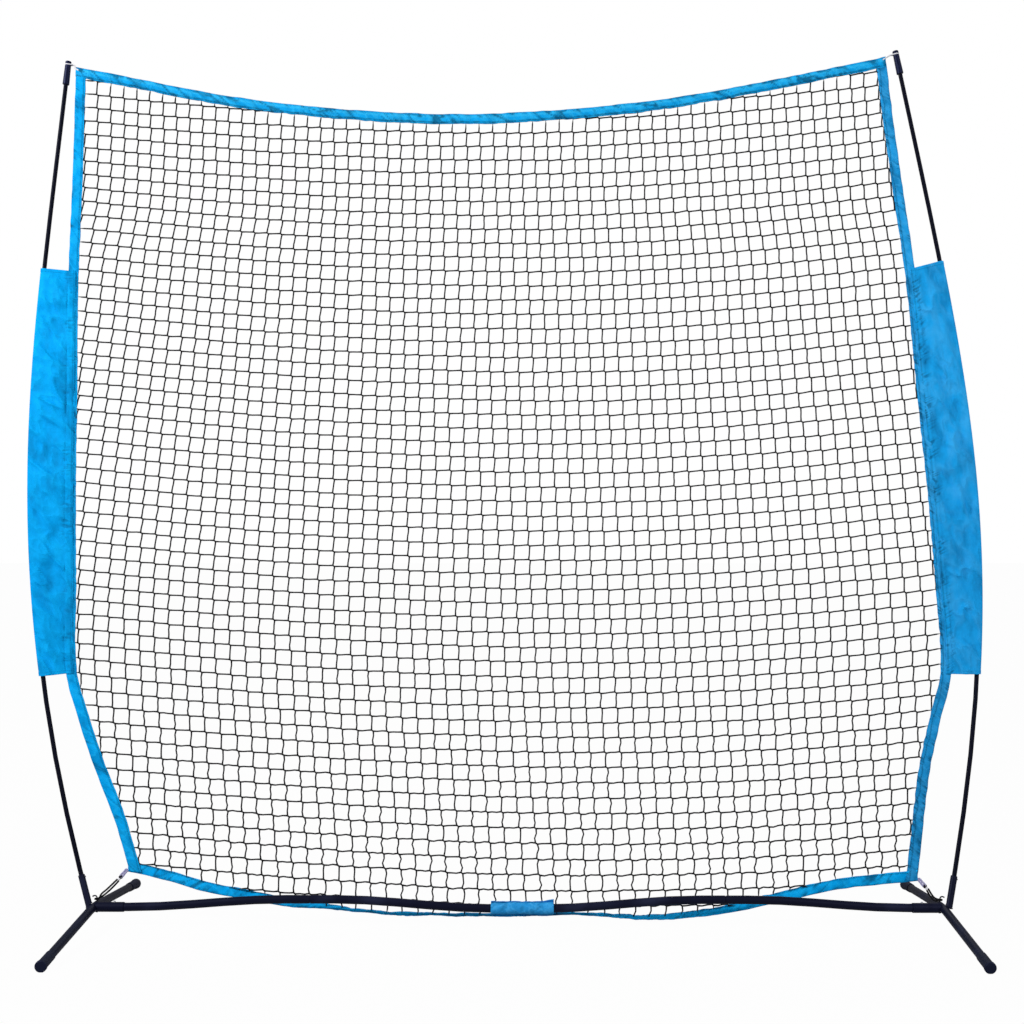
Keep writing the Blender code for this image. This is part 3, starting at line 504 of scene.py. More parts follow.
@dataclass(frozen=True)
class Polyester(Finish):
    """Plain-woven blue polyester, with its weave and its stitches, and painted light and shade: in patches,
    on fold crests, along seams and in creases.
    """

    name: str
    stitching: Stitching
    hems: tuple[float, ...] = ()
    colour: tuple[float, ...] = rgb(0, 168, 246)
    deep: tuple[float, ...] = rgb(4, 134, 200)
    pale: tuple[float, ...] = rgb(26, 186, 255)
    drift: tuple[float, float, float] = (1.0, 1.0, 0.6)
    fold_scale: float = 42.0
    fold_height: float = 0.0011
    fold_lean: float = -0.8
    shadow: tuple[float, ...] = rgb(8, 74, 112)
    thread: float = 0.00075
    stitch: float = 0.0042
    stitch_half: float = 0.0009
    seam_shade_fade: tuple[float, float] = (0.0042, 0.0012)
    fold: float = 0.0265
    crown_off: float = 0.0075
    crown_fade: tuple[float, float] = (0.0050, 0.0015)
    contrast: float = 0.6
    low_darkening: float = 0.0
    light_shade_patches: float = 1.0
    seam_shade: float = 0.27
    crown: float = 0.0

    def weave(self, across: Value, along: Value) -> Value:
        """Height of a plain weave.

        Args:
            across: Distance across the cloth.
            along: Distance along it.

        Returns:
            The height, from about -1 to 1.
        """
        turn = math.pi / self.thread
        first = (across * turn).sine()
        second = (along * turn).sine()
        return first * second * 0.5 + (first.absolute() + second.absolute()) * 0.25

    def dashes(self, over: Value, places: Sequence[float], along: Value) -> Value:
        """1 on the thread of stitch lines at a few places, else 0.

        Args:
            over: Distance that the places are measured along.
            places: Where the lines run.
            along: Distance along a line.

        Returns:
            The mask.
        """
        dash = (along * (2 * math.pi / self.stitch)).sine() > -0.45
        found = over.band(places[0], self.stitch_half)
        for place in places[1:]:
            found = found + over.band(place, self.stitch_half)
        return found * dash

    def crests(self, g: Graph) -> Value:
        """1 on the sharp crests of small folds, 0 between them.

        Args:
            g: The material's graph.

        Returns:
            The mask.
        """
        broad = g.noise(self.fold_scale, 1.5, (1.0, 1.0, 0.45), self.fold_lean)
        fine = g.noise(self.fold_scale * 2.3, 1.5, (1.0, 1.0, 0.5), self.fold_lean * 0.6)
        first, second = ((1.0 - (n - 0.5).absolute() * 6.0).math("MAXIMUM", 0.0) for n in (broad, fine))
        return first * 0.75 + second * 0.25

    def paint(self, g: Graph) -> None:
        """Fills the graph of the material.

        Args:
            g: The graph.
        """
        across, along = g.cloth()
        weave = self.weave(across, along)
        cloud = g.noise(23.0, 4.0, self.drift)
        mottle = g.noise(75.0, 3.0, (1.0, 1.0, 0.5))
        # Painted light and shade: broad noise patches turn deeper and paler, standing in for the shading of
        # soft folds.
        shade = g.mix(cloud.ramp(0.46, 0.68) * (0.72 * self.light_shade_patches), self.colour, self.deep)
        shade = g.mix(cloud.ramp(0.48, 0.30) * (0.70 * self.light_shade_patches), shade, self.pale)
        shade = g.mix(mottle.ramp(0.5, 0.85) * 0.35, shade, self.pale)
        crests = self.crests(g)
        # Painted highlight on the crests of the small folds, and painted shade between them.
        shade = g.mix(crests.ramp(0.45, 0.9) * 0.45, shade, self.pale)
        shade = g.mix(crests.ramp(0.20, 0.0) * 0.22, shade, self.deep)
        crease = Value(g, g.add("ShaderNodeAttribute", {"attribute_name": "crease"}).outputs["Fac"])
        # Darker towards the lower end of the cloth.
        shade = g.mix(along.ramp(1.0, 0.05) * self.low_darkening, shade, self.deep)
        # Painted highlight: a paler band on each face just inside the folded edge, where the rolled hem's
        # crown faces the light.
        crown = ((across - self.fold).absolute() - self.crown_off).absolute().ramp(*self.crown_fade)
        shade = g.mix(crown * self.crown, shade, self.pale)
        # Painted shade in a soft band along each stitch line, patchy with the mottle.
        for place in self.stitching.value:
            drawn = (across - place).absolute().ramp(*self.seam_shade_fade) * mottle.ramp(0.30, 0.62)
            shade = g.mix(drawn * self.seam_shade, shade, self.shadow)
        # Painted shade in the creases, from the crease attribute that each piece carries.
        shade = g.mix(crease * (0.55 + mottle * 0.35), shade, self.shadow)
        thread = self.dashes(across, self.stitching.value, along)
        if self.hems:
            thread = thread + self.dashes(along, self.hems, across)
        shade = g.mix(thread * self.contrast, shade, self.shadow)
        g.set(Base_Color=shade, Roughness=0.66 + mottle * 0.2, Specular_IOR_Level=0.04)
        g.bump((weave * 0.25 + mottle * 0.4 - thread * 0.8) * 0.00022 + crests * self.fold_height, 1.0)


@dataclass(frozen=True)
class Twine(Finish):
    """Braided or twisted cord."""

    name: str
    colour: tuple[float, ...]
    light: tuple[float, ...]
    lay: float = 0.0032
    roughness: float = 0.8

    def paint(self, g: Graph) -> None:
        """Fills the graph of the material.

        Args:
            g: The graph.
        """
        across, along = g.cloth()
        turn = 2 * math.pi / self.lay
        strand = ((along + across * 0.9) * turn).sine() * ((along - across * 0.9) * turn).sine()
        fuzz = g.noise(700.0, 2.0)
        g.set(Base_Color=g.mix(strand.ramp(-0.2, 0.9) * 0.5 + fuzz * 0.2, self.colour, self.light))
        g.set(Roughness=self.roughness + fuzz * 0.1, Specular_IOR_Level=0.3)
        g.bump(strand + fuzz, 0.0002, 0.6)


@dataclass(frozen=True)
class ClearPlastic(Finish):
    """Slightly lilac translucent clip."""

    name: str = "clear_clip"
    colour: tuple[float, ...] = rgb(160, 156, 200)

    def paint(self, g: Graph) -> None:
        """Fills the graph of the material.

        Args:
            g: The graph.
        """
        flow = g.noise(160.0, 3.0)
        g.set(Base_Color=g.mix(flow.ramp(0.4, 0.8) * 0.5, self.colour, rgb(204, 202, 230)))
        g.set(Roughness=0.22 + flow * 0.12, Transmission_Weight=0.05, IOR=1.49, Coat_Weight=0.2)
        g.bump(flow, 0.0001, 0.35)


BINDING = Polyester("binding_cloth", Stitching.BINDING)
# A brighter copy for the top hem: painted light, with a painted highlight band along its rounded fold.
SUNLIT = replace(
    BINDING, name="top_hem_cloth", colour=rgb(14, 173, 249), deep=rgb(14, 142, 206), pale=rgb(54, 196, 255),
    light_shade_patches=0.55, seam_shade=0.5, crown=0.6,
)
# A greyer, darker copy for the right binding: painted shade with a painted whitish sheen, darker towards its
# lower end.
SHADED_BINDING = replace(
    BINDING, name="right_binding_cloth", colour=rgb(34, 164, 238), deep=rgb(24, 124, 184),
    pale=rgb(66, 180, 246), low_darkening=0.5,
)
SLEEVES = Polyester("sleeve_cloth", Stitching.SLEEVE, contrast=0.3, fold_scale=17.0, fold_height=0.0062)
WRAP = Polyester(
    "wrap_cloth", Stitching.WRAP, colour=rgb(43, 154, 226), deep=rgb(22, 120, 188), pale=rgb(78, 184, 250),
    light_shade_patches=0.45, seam_shade=0.0,
)
NET_TWINE = Twine("net_twine", rgb(12, 12, 15), rgb(32, 32, 36))
ELASTIC = Twine("black_elastic", rgb(10, 10, 13), rgb(24, 24, 29), 0.0022, 0.8)
WHITE_CORD = Twine("white_cord", rgb(236, 236, 243), rgb(252, 252, 255), 0.0026, 0.65)
RUBBER = Moulded("foot_rubber", rgb(15, 19, 38), rgb(42, 48, 70), 0.62)
CAP_PLASTIC = Moulded("cap_plastic", rgb(10, 14, 40), rgb(36, 44, 82), 0.5)


# Curves and lofts


class Knots:
    """A smooth curve through a few values, sampled densely so that whole arrays can read it."""

    SAMPLES = 1600

    def __init__(self, places: Sequence[float], values: Sequence[float]) -> None:
        """Fits the curve.

        Args:
            places: Rising positions.
            values: The value at each.
        """
        x = np.array(places, float)
        y = np.array(values, float)
        low = np.maximum(np.arange(len(x)) - 1, 0)
        high = np.minimum(np.arange(len(x)) + 1, len(x) - 1)
        slope = (y[high] - y[low]) / (x[high] - x[low])
        self.x = np.linspace(x[0], x[-1], self.SAMPLES)
        i = np.clip(np.searchsorted(x, self.x, side="right") - 1, 0, len(x) - 2)
        span = x[i + 1] - x[i]
        t = (self.x - x[i]) / span
        self.y = (
            (2 * t**3 - 3 * t**2 + 1) * y[i]
            + (t**3 - 2 * t**2 + t) * span * slope[i]
            + (3 * t**2 - 2 * t**3) * y[i + 1]
            + (t**3 - t**2) * span * slope[i + 1]
        )

    def __call__(self, at: Any) -> Any:
        """Value or values of the curve."""
        return np.interp(at, self.x, self.y)


def smooth_route(points: Sequence[Sequence[float]], count: int) -> np.ndarray:
    """Points along a smooth curve through a few chosen ones.

    Args:
        points: The chosen points.
        count: How many to return.

    Returns:
        An array of points.
    """
    given = np.array(points, float)
    marks = distances(given)
    at = np.linspace(0, marks[-1], count)
    return np.stack([Knots(marks, given[:, k])(at) for k in range(3)], axis=1)


def unit(rows: np.ndarray) -> np.ndarray:
    """Rows scaled to length 1."""
    return rows / np.maximum(np.linalg.norm(rows, axis=-1, keepdims=True), 1e-12)


def distances(points: np.ndarray) -> np.ndarray:
    """How far each point lies along the path through them all."""
    return np.concatenate([[0.0], np.cumsum(np.linalg.norm(np.diff(points, axis=0), axis=1))])


def full_turn(count: int) -> np.ndarray:
    """Even angles round a circle, without its first again."""
    return np.linspace(0, 2 * math.pi, count, endpoint=False)


def eased(share: np.ndarray) -> np.ndarray:
    """A share from 0 to 1 that starts and stops softly."""
    return share * share * (3 - 2 * share)


def rings_round(
    points: np.ndarray, first: np.ndarray, second: np.ndarray, radii: np.ndarray, sides: int
) -> np.ndarray:
    """Circles of points round a path.

    Args:
        points: The centreline.
        first: The way to the first point of each ring.
        second: The way to the point a quarter turn on.
        radii: One radius for each ring.
        sides: Points of each ring.

    Returns:
        The rings.
    """
    turn = full_turn(sides)
    return (
        points[:, None, :]
        + first[:, None, :] * (np.cos(turn)[None, :, None] * radii[:, None, None])
        + second[:, None, :] * (np.sin(turn)[None, :, None] * radii[:, None, None])
    )


def wobble(seed: int, at: np.ndarray, step: float) -> np.ndarray:
    """Smooth repeatable noise from -1 to 1 along a line.

    Args:
        seed: Which noise.
        at: Positions.
        step: Distance between its independent values.

    Returns:
        One value for each position.
    """
    cells = np.asarray(at, float) / step
    low = np.floor(cells).astype(int)
    part = eased(cells - low)

    def level(k: np.ndarray) -> np.ndarray:
        """The independent values, from whole numbers alone.

        Args:
            k: Which values.

        Returns:
            The values, from -1 to 1.
        """
        mixed = (k * 73856093) ^ (seed * 19349663) ^ 0x5BD1E995
        mixed = (mixed ^ (mixed >> 13)) * 1274126177
        return ((mixed ^ (mixed >> 16)) & 0xFFFF) / 32767.5 - 1.0

    return level(low) * (1 - part) + level(low + 1) * part


def wobble2(seed: int, u: np.ndarray, v: np.ndarray, step: float) -> np.ndarray:
    """Smooth repeatable noise from -1 to 1 over a plane.

    Args:
        seed: Which noise.
        u: Positions one way.
        v: Positions the other way.
        step: Distance between its independent values.

    Returns:
        One value for each pair of positions.
    """
    cell = np.asarray(v, float) / step
    low = np.floor(cell).astype(int)
    part = eased(cell - low)
    first = np.zeros(np.broadcast(u, v).shape)
    second = np.zeros_like(first)
    rows = np.broadcast_to(low, first.shape)
    across = np.broadcast_to(u, first.shape)
    for k in np.unique(rows):
        here = rows == k
        first[here] = wobble(seed + 31 * int(k), across[here], step)
        second[here] = wobble(seed + 31 * (int(k) + 1), across[here], step)
    return first * (1 - part) + second * part


class Workshop:
    """Turns rings of points into named pieces that ride on the net's body."""

    def __init__(self) -> None:
        """Starts with no pieces."""
        self.made: list[bpy.types.Object] = []

    def loft(
        self,
        name: str,
        skins: Sequence[np.ndarray],
        finish: bpy.types.Material,
        caps: bool = True,
        ring: bool = False,
        crease: Optional[np.ndarray] = None,
    ) -> bpy.types.Object:
        """Builds one piece from skins over rings of points, with a UV map in metres.

        Args:
            name: The piece's name.
            skins: The points of each skin, as rows of rings by points of each ring.
            finish: Its material.
            caps: Whether the ends of each skin are filled.
            ring: Whether each last ring meets the first.
            crease: Painted shade at each point, from 0 to 1.

        Returns:
            The new object.
        """
        faces: list[np.ndarray] = []
        maps: list[np.ndarray] = []
        ends: list[list[int]] = []
        base = 0
        for rings in skins:
            rows, count = rings.shape[:2]
            wide = np.linalg.norm(np.roll(rings, -1, axis=1) - rings, axis=2)
            u = np.concatenate([np.zeros((rows, 1)), np.cumsum(wide, axis=1)], axis=1)
            down = np.linalg.norm(np.roll(rings, -1, axis=0) - rings, axis=2).mean(axis=1)
            v = np.concatenate([[0.0], np.cumsum(down)])
            r, c = np.indices((rows if ring else rows - 1, count)).reshape(2, -1)
            corners = ((r, c), (r, c + 1), (r + 1, c + 1), (r + 1, c))
            faces.append(base + np.stack([i % rows * count + k % count for i, k in corners], axis=1))
            maps += [np.stack([x for i, k in corners for x in (u[i % rows, k], v[i])], axis=1).reshape(-1, 2)]
            top = base + rows * count
            if caps and not ring:
                ends += [list(range(base, base + count))[::-1], list(range(top - count, top))]
            base = top
        mesh = bpy.data.meshes.new(name)
        points = np.concatenate([rings.reshape(-1, 3) for rings in skins])
        mesh.from_pydata(points.tolist(), [], np.concatenate(faces).tolist() + ends)
        layer = mesh.uv_layers.new(name="cloth")
        flat = np.concatenate(maps + [np.zeros((sum(len(end) for end in ends), 2))])
        layer.data.foreach_set("uv", flat.astype(np.float32).ravel())
        mesh.shade_smooth()
        mesh.materials.append(finish)
        mesh.update()
        made = self.keep(placed(name, mesh))
        if crease is not None:
            depth = made.data.attributes.new("crease", "FLOAT", "POINT")
            depth.data.foreach_set("value", np.clip(crease, 0, 1).astype(np.float32).ravel())
        return made

    def keep(self, obj: bpy.types.Object) -> bpy.types.Object:
        """Makes a piece ride on the net's body.

        Args:
            obj: The piece.

        Returns:
            The same piece.
        """
        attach(obj, BODY)
        self.made.append(obj)
        LOG.info("piece %s: %d faces", obj.name, len(obj.data.polygons))
        return obj

    @staticmethod
    def tube_rings(points: np.ndarray, radii: Union[float, np.ndarray], sides: int) -> np.ndarray:
        """Rings round a path, without twist.

        Args:
            points: The centreline.
            radii: One radius, or one for each point.
            sides: Points round each ring.

        Returns:
            The rings.
        """
        along = unit(np.gradient(points, axis=0))
        radii = np.broadcast_to(np.asarray(radii, float), (len(points),))
        start = UP if abs(along[0][2]) < 0.8 else BACK
        first = np.zeros_like(points)
        side = np.cross(along[0], start)
        for k, way in enumerate(along):
            side = side - way * side.dot(way)
            side = side / np.linalg.norm(side)
            first[k] = side
        return rings_round(points, first, np.cross(along, first), radii, sides)

    def tube(
        self, name: str, points: np.ndarray, radius: float, finish: bpy.types.Material, sides: int
    ) -> bpy.types.Object:
        """A solid cord along a path.

        Args:
            name: The piece's name.
            points: The centreline.
            radius: Half its thickness.
            finish: Its material.
            sides: Points round each ring.

        Returns:
            The new object.
        """
        return self.loft(name, [self.tube_rings(points, radius, sides)], finish)


# The net's own shape


@dataclass(frozen=True)
class SideSizes:
    """One half of the frame, measured outboard of its hub.

    Attributes:
        name: Its name.
        sign: -1 on the left and 1 on the right.
        foot: Where the pole's line starts.
        lean: How far the socket leans, in degrees.
        pull: How far the line keeps that lean.
        tip: Where the line ends.
        tip_height: Its height there.
        tip_lean: How far the tip leans, in degrees.
        tip_pull: How far below the tip the line keeps that lean.
        insets: How far inboard of the pole the net's edge runs, at the heights in HemSizes.
        top_inset: The same at the top corner.
        slant: How much higher the sleeve's upper end is at the pole.
    """

    name: str
    sign: int
    foot: float
    lean: float
    pull: float
    tip: float
    tip_height: float
    tip_lean: float
    tip_pull: float
    insets: tuple[float, ...]
    top_inset: float
    slant: float


LEFT = SideSizes(
    "left", -1, 0.0091, 20.0, 0.783, 0.181, 2.1585, -5.2, 0.720,
    (0.107, 0.1035, 0.0845, 0.0685, 0.058, 0.082, 0.0925, 0.0895, 0.068, 0.050, 0.0325), 0.021, 0.004,
)
RIGHT = SideSizes(
    "right", 1, 0.0132, 14.4, 0.774, -0.0205, 2.1835, -11.1, 0.869,
    (0.078, 0.087, 0.090, 0.078, 0.063, 0.085, 0.098, 0.096, 0.074, 0.059, 0.0435), 0.029, 0.020,
)
SIDES = (LEFT, RIGHT)


@dataclass(frozen=True)
class FrameSizes:
    """Sizes of the steel base and the poles.

    Attributes:
        half: Half the distance between the leg tubes.
        hub_height: Height of a leg's bend.
        leg_radius: Outside radius of a leg tube.
        leg_back: How far behind the hub its rear end lies.
        leg_low: Height of that end.
        bar_radius: Outside radius of the crossbar's outer tubes.
        bar_sag: How far its middle sags.
        socket_top: Height of a socket's mouth.
        back_lean: How far a socket leans back.
        tip_back_lean: How far a tip leans back.
        bow_back: Share of their mean that the whole pole leans back.
        below_hub: How far below the hub the line still reads.
        hook_back: How far behind the hub a hook stands.
        groove_radius: Radius of a tip cap's groove.
        groove_height: Its height.
        cap_top: Length of a cap above the pole.
        tip_wall: Wall of a cap.
        stub_radius: Outside radius of a crossbar stub.
    """

    half: float = 1.0
    hub_height: float = 0.045
    leg_radius: float = 0.010
    leg_back: float = 0.387
    leg_low: float = 0.012
    bar_radius: float = 0.010
    bar_sag: float = 0.0026
    socket_top: float = 0.1154
    back_lean: float = math.radians(16.5)
    tip_back_lean: float = math.radians(3.0)
    bow_back: float = 0.985
    below_hub: float = 0.02
    hook_back: float = 0.031
    groove_radius: float = 0.0052
    groove_height: float = 0.0034
    cap_top: float = 0.0139
    tip_wall: float = 0.0019
    stub_radius: float = 0.0116

    def shift(self) -> float:
        """Where the hubs' middle stands along X."""
        low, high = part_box("left_leg_tube")
        return (low.x + high.x) / 2 + self.half

    def hub_x(self, side: SideSizes) -> float:
        """A leg tube's centre."""
        return self.shift() + side.sign * self.half


class PoleLine:
    """Centreline of a bowed pole, as the solids have it."""

    SAMPLES = 600

    def __init__(self, side: SideSizes, sizes: FrameSizes) -> None:
        """Works out the line.

        Args:
            side: Which half.
            sizes: The frame's sizes.
        """
        self.side = side
        rise = sizes.socket_top - sizes.hub_height
        start, end = (
            np.array([side.sign * math.tan(math.radians(lean)), math.tan(back_lean), 1.0])
            for lean, back_lean in ((side.lean, sizes.back_lean), (side.tip_lean, sizes.tip_back_lean))
        )
        foot = np.array([sizes.hub_x(side) + side.sign * side.foot, 0.0, sizes.hub_height])
        self.direction = start / np.linalg.norm(start)
        self.mouth = foot + start * rise
        back = (start[1] + end[1]) / 2 * (side.tip_height - sizes.socket_top) * sizes.bow_back
        tip = np.array([sizes.hub_x(side) + side.sign * side.tip, self.mouth[1] + back, side.tip_height])
        t = np.linspace(0, 1, self.SAMPLES)[:, None]
        cage = (self.mouth, self.mouth + start * side.pull, tip - end * side.tip_pull, tip)
        self.line = (
            (1 - t) ** 3 * cage[0]
            + 3 * (1 - t) ** 2 * t * cage[1]
            + 3 * (1 - t) * t**2 * cage[2]
            + t**3 * cage[3]
        )
        self.marks = distances(self.line)
        self.length = self.marks[-1] - sizes.cap_top
        self.low = foot - start * sizes.below_hub

    def at(self, distance: float) -> np.ndarray:
        """Point of the line.

        Args:
            distance: How far along it from the socket's mouth.

        Returns:
            The point.
        """
        if distance < 0:
            return self.mouth + self.direction * distance
        return np.array([np.interp(distance, self.marks, self.line[:, k]) for k in range(3)])

    def at_height(self, height: Any) -> np.ndarray:
        """Point or points of the line.

        Args:
            height: One height or several.

        Returns:
            The point at each.
        """
        line = np.concatenate([[self.low], self.line])
        x, y = (np.interp(height, line[:, 2], line[:, k]) for k in (0, 1))
        return np.stack([x, y, np.asarray(height, float)], axis=-1)


@dataclass(frozen=True)
class HemSizes:
    """Widths of the bound edges and the course of the two hems.

    The heights and fractions are chosen places up a side or along a hem, and the values that
    go with them are read from the photograph.
    """

    side: float = 0.0265
    top: float = 0.0270
    bottom: float = 0.0250
    cloth: float = 0.0030
    corner_drop: float = 0.0170
    net_back: float = 0.035
    forward: float = 0.0125
    turn_back: float = 0.004
    wrap_shift: float = 0.011
    wrap_length: float = 0.148
    sleeve_bottom: float = 0.580
    sleeve_top: float = 1.600
    heights: tuple[float, ...] = (0.12, 0.24, 0.36, 0.48, 0.58, 0.80, 1.05, 1.30, 1.60, 1.84, 2.02)
    top_fractions: tuple[float, ...] = (0.0, 0.07, 0.18, 0.30, 0.42, 0.52, 0.64, 0.76, 0.88, 0.95, 1.0)
    top_drops: tuple[float, ...] = (
        -0.003, 0.029, 0.0775, 0.114, 0.1345, 0.1373, 0.1236, 0.094, 0.0492, 0.0203, -0.0012,
    )
    hem_fractions: tuple[float, ...] = (
        0.0, 0.05, 0.10, 0.15, 0.20, 0.26, 0.33, 0.42, 0.50, 0.58, 0.66, 0.74, 0.82, 0.90, 1.0,
    )
    hem_heights: tuple[float, ...] = (
        0.129, 0.108, 0.082, 0.065, 0.048, 0.036, 0.024, 0.022, 0.0228,
        0.0236, 0.015, 0.027, 0.058, 0.090, 0.110,
    )
    hem_turns: tuple[float, ...] = (12, 34, 30, 34, 52, 82, 90, 90, 90, 88, 81, 64, 34, 16, 8)


class NetShape:
    """Where the net hangs: its depth, its side edges and its two hems."""

    def __init__(self, poles: dict[str, PoleLine], frame_sizes: FrameSizes, hems: HemSizes) -> None:
        """Works out the shape.

        Args:
            poles: The centreline on each side.
            frame_sizes: The frame's sizes.
            hems: The hems' sizes.
        """
        self.poles = poles
        self.hems = hems
        self.hub = frame_sizes.hub_height
        self.wrap_x = frame_sizes.shift() + hems.wrap_shift
        low = sum(p.at_height(hems.sleeve_bottom)[1] for p in poles.values()) / 2 - hems.net_back
        high = sum(p.line[-1][1] for p in poles.values()) / 2 - hems.net_back
        a = hems.sleeve_bottom - self.hub
        b = sum(p.side.tip_height for p in poles.values()) / 2 - self.hub
        self.curve = (high / b - low / a) / (b - a)
        self.slope = low / a - self.curve * a
        self.insets = {}
        self.corners = {}
        for name, pole in poles.items():
            top = pole.side.tip_height - hems.corner_drop
            kept = [h for h in hems.heights if h < top - 0.05] + [top]
            values = list(pole.side.insets[: len(kept) - 1]) + [pole.side.top_inset]
            self.insets[name] = Knots(kept, values)
            self.corners[name] = np.array([float(self.edge_x(name, top)), float(self.depth(top)), top])
        self.top_drop = Knots(hems.top_fractions, hems.top_drops)
        self.hem_height = Knots(hems.hem_fractions, hems.hem_heights)
        self.hem_turn = Knots(hems.hem_fractions, hems.hem_turns)

    def depth(self, height: Any) -> Any:
        """How far back the net hangs at a height."""
        up = height - self.hub
        return self.hems.net_back + self.slope * up + self.curve * up * up

    def edge_x(self, name: str, height: Any) -> Any:
        """Outer edge of a side binding."""
        pole = self.poles[name]
        return pole.at_height(height)[..., 0] - pole.side.sign * self.insets[name](height)

    def side_point(self, name: str, height: Any, inset: Any) -> np.ndarray:
        """Points inboard of a side edge, measured square to the edge.

        Args:
            name: Which side.
            height: Their heights.
            inset: How far inboard.

        Returns:
            The points.
        """
        sign = self.poles[name].side.sign
        step = 0.02
        height = np.asarray(height, float)
        lean = (self.edge_x(name, height + step) - self.edge_x(name, height - step)) / (2 * step)
        x = self.edge_x(name, height) - sign * inset * np.hypot(1.0, lean)
        return np.stack([x, self.depth(height), height + 0 * x], axis=-1)

    def top_point(self, fraction: Any, drop: Any) -> np.ndarray:
        """Points on the top hem.

        Args:
            fraction: Places along it, from 0 at the left to 1.
            drop: How far below its upper edge.

        Returns:
            The points.
        """
        left, right = self.corners["left"], self.corners["right"]
        fraction = np.asarray(fraction, float)
        x = left[0] + (right[0] - left[0]) * fraction
        z = left[2] + (right[2] - left[2]) * fraction - self.top_drop(fraction) - drop
        return np.stack([x, self.depth(z), z], axis=-1)

    def pull_forward(self, x: Any) -> Any:
        """How far the bottom hem comes forward towards the wrap."""
        near = np.clip(1.0 - np.abs(x - self.wrap_x) / (2.5 * self.hems.wrap_length), 0.0, 1.0)
        return self.hems.forward * eased(near)

    def hem_ends(self) -> tuple[float, float]:
        """The bottom hem's two ends along X.

        Returns:
            The left and the right end.
        """
        return (
            float(self.edge_x("left", self.hems.hem_heights[0])),
            float(self.edge_x("right", self.hems.hem_heights[-1])),
        )

    def hem_frame(self, fraction: Any) -> tuple[np.ndarray, np.ndarray]:
        """Middle of the bottom hem and the way to its upper edge.

        Args:
            fraction: Places along it, from 0 at the left to 1.

        Returns:
            The points of its middle line, and the way up its width at each.
        """
        fraction = np.asarray(fraction, float)
        left, right = self.hem_ends()
        z = self.hem_height(fraction)
        turn = np.radians(self.hem_turn(fraction))
        x = left + (right - left) * fraction
        y = self.depth(z) + self.hems.turn_back * np.sin(turn) - self.pull_forward(x)
        middle = np.stack([x, y, z], axis=-1)
        return middle, np.stack([0 * x, np.sin(turn), np.cos(turn)], axis=-1)

    def hem_point(self, fraction: Any, offset: Any) -> np.ndarray:
        """Points on the bottom hem, an offset towards its upper edge."""
        middle, up = self.hem_frame(fraction)
        return middle + up * np.asarray(offset)[..., None]


# Pieces of cloth


@dataclass
class Puckers:
    """Small slanted gathers along a seam, patchy as a sewing machine leaves them."""

    seed: int
    strength: float
    pitch: float = 0.0085
    slant: float = 0.45
    height: float = 0.00060
    cover: float = 0.45

    def level(self, across: Any, along: np.ndarray) -> np.ndarray:
        """Height from about -1 to 1.

        Args:
            across: Distance from the seam.
            along: Distances along it.

        Returns:
            One value for each distance.
        """
        place = along + self.slant * across
        phase = place / self.pitch + 1.5 * wobble(self.seed, place, 0.019) + across / 0.035
        patch = np.clip(self.cover + 0.8 * wobble(self.seed + 1, place, 0.028), 0.08, 1.15)
        fine = wobble2(self.seed + 2, np.full(len(along), across) * 0.7, place, 0.0066)
        return patch * (0.40 * np.sin(2 * math.pi * phase) + 0.95 * fine)

    def crease(self, level: np.ndarray) -> np.ndarray:
        """Painted shade in the valleys, from 0 to 1."""
        return np.clip(-1.7 * level - 0.15, 0, 1) * min(1.0, 0.62 * self.strength)


@dataclass
class StripLines:
    """The lines that a bound edge is built on, with one entry for each ring.

    Attributes:
        low: The open edge.
        high: The folded edge.
        normal: The way that the front looks.
        slow: How far the strip's middle stands out.
        marks: Distance along it.
        half: Half its thickness.
        width: Its mean width.
    """

    low: np.ndarray
    high: np.ndarray
    normal: np.ndarray
    slow: np.ndarray
    marks: np.ndarray
    half: np.ndarray
    width: float


@dataclass
class StripLook:
    """How a bound edge looks.

    Attributes:
        puckers: The gathers that it shows.
        rolls: Height of its wide slanted wrinkles, in metres.
        rounded: How far its section is a rolled hem's, from 0 to 1.
        shade: Extra darkness along its length.
    """

    puckers: Puckers
    rolls: float
    rounded: float = 0.0
    shade: Any = 0.0


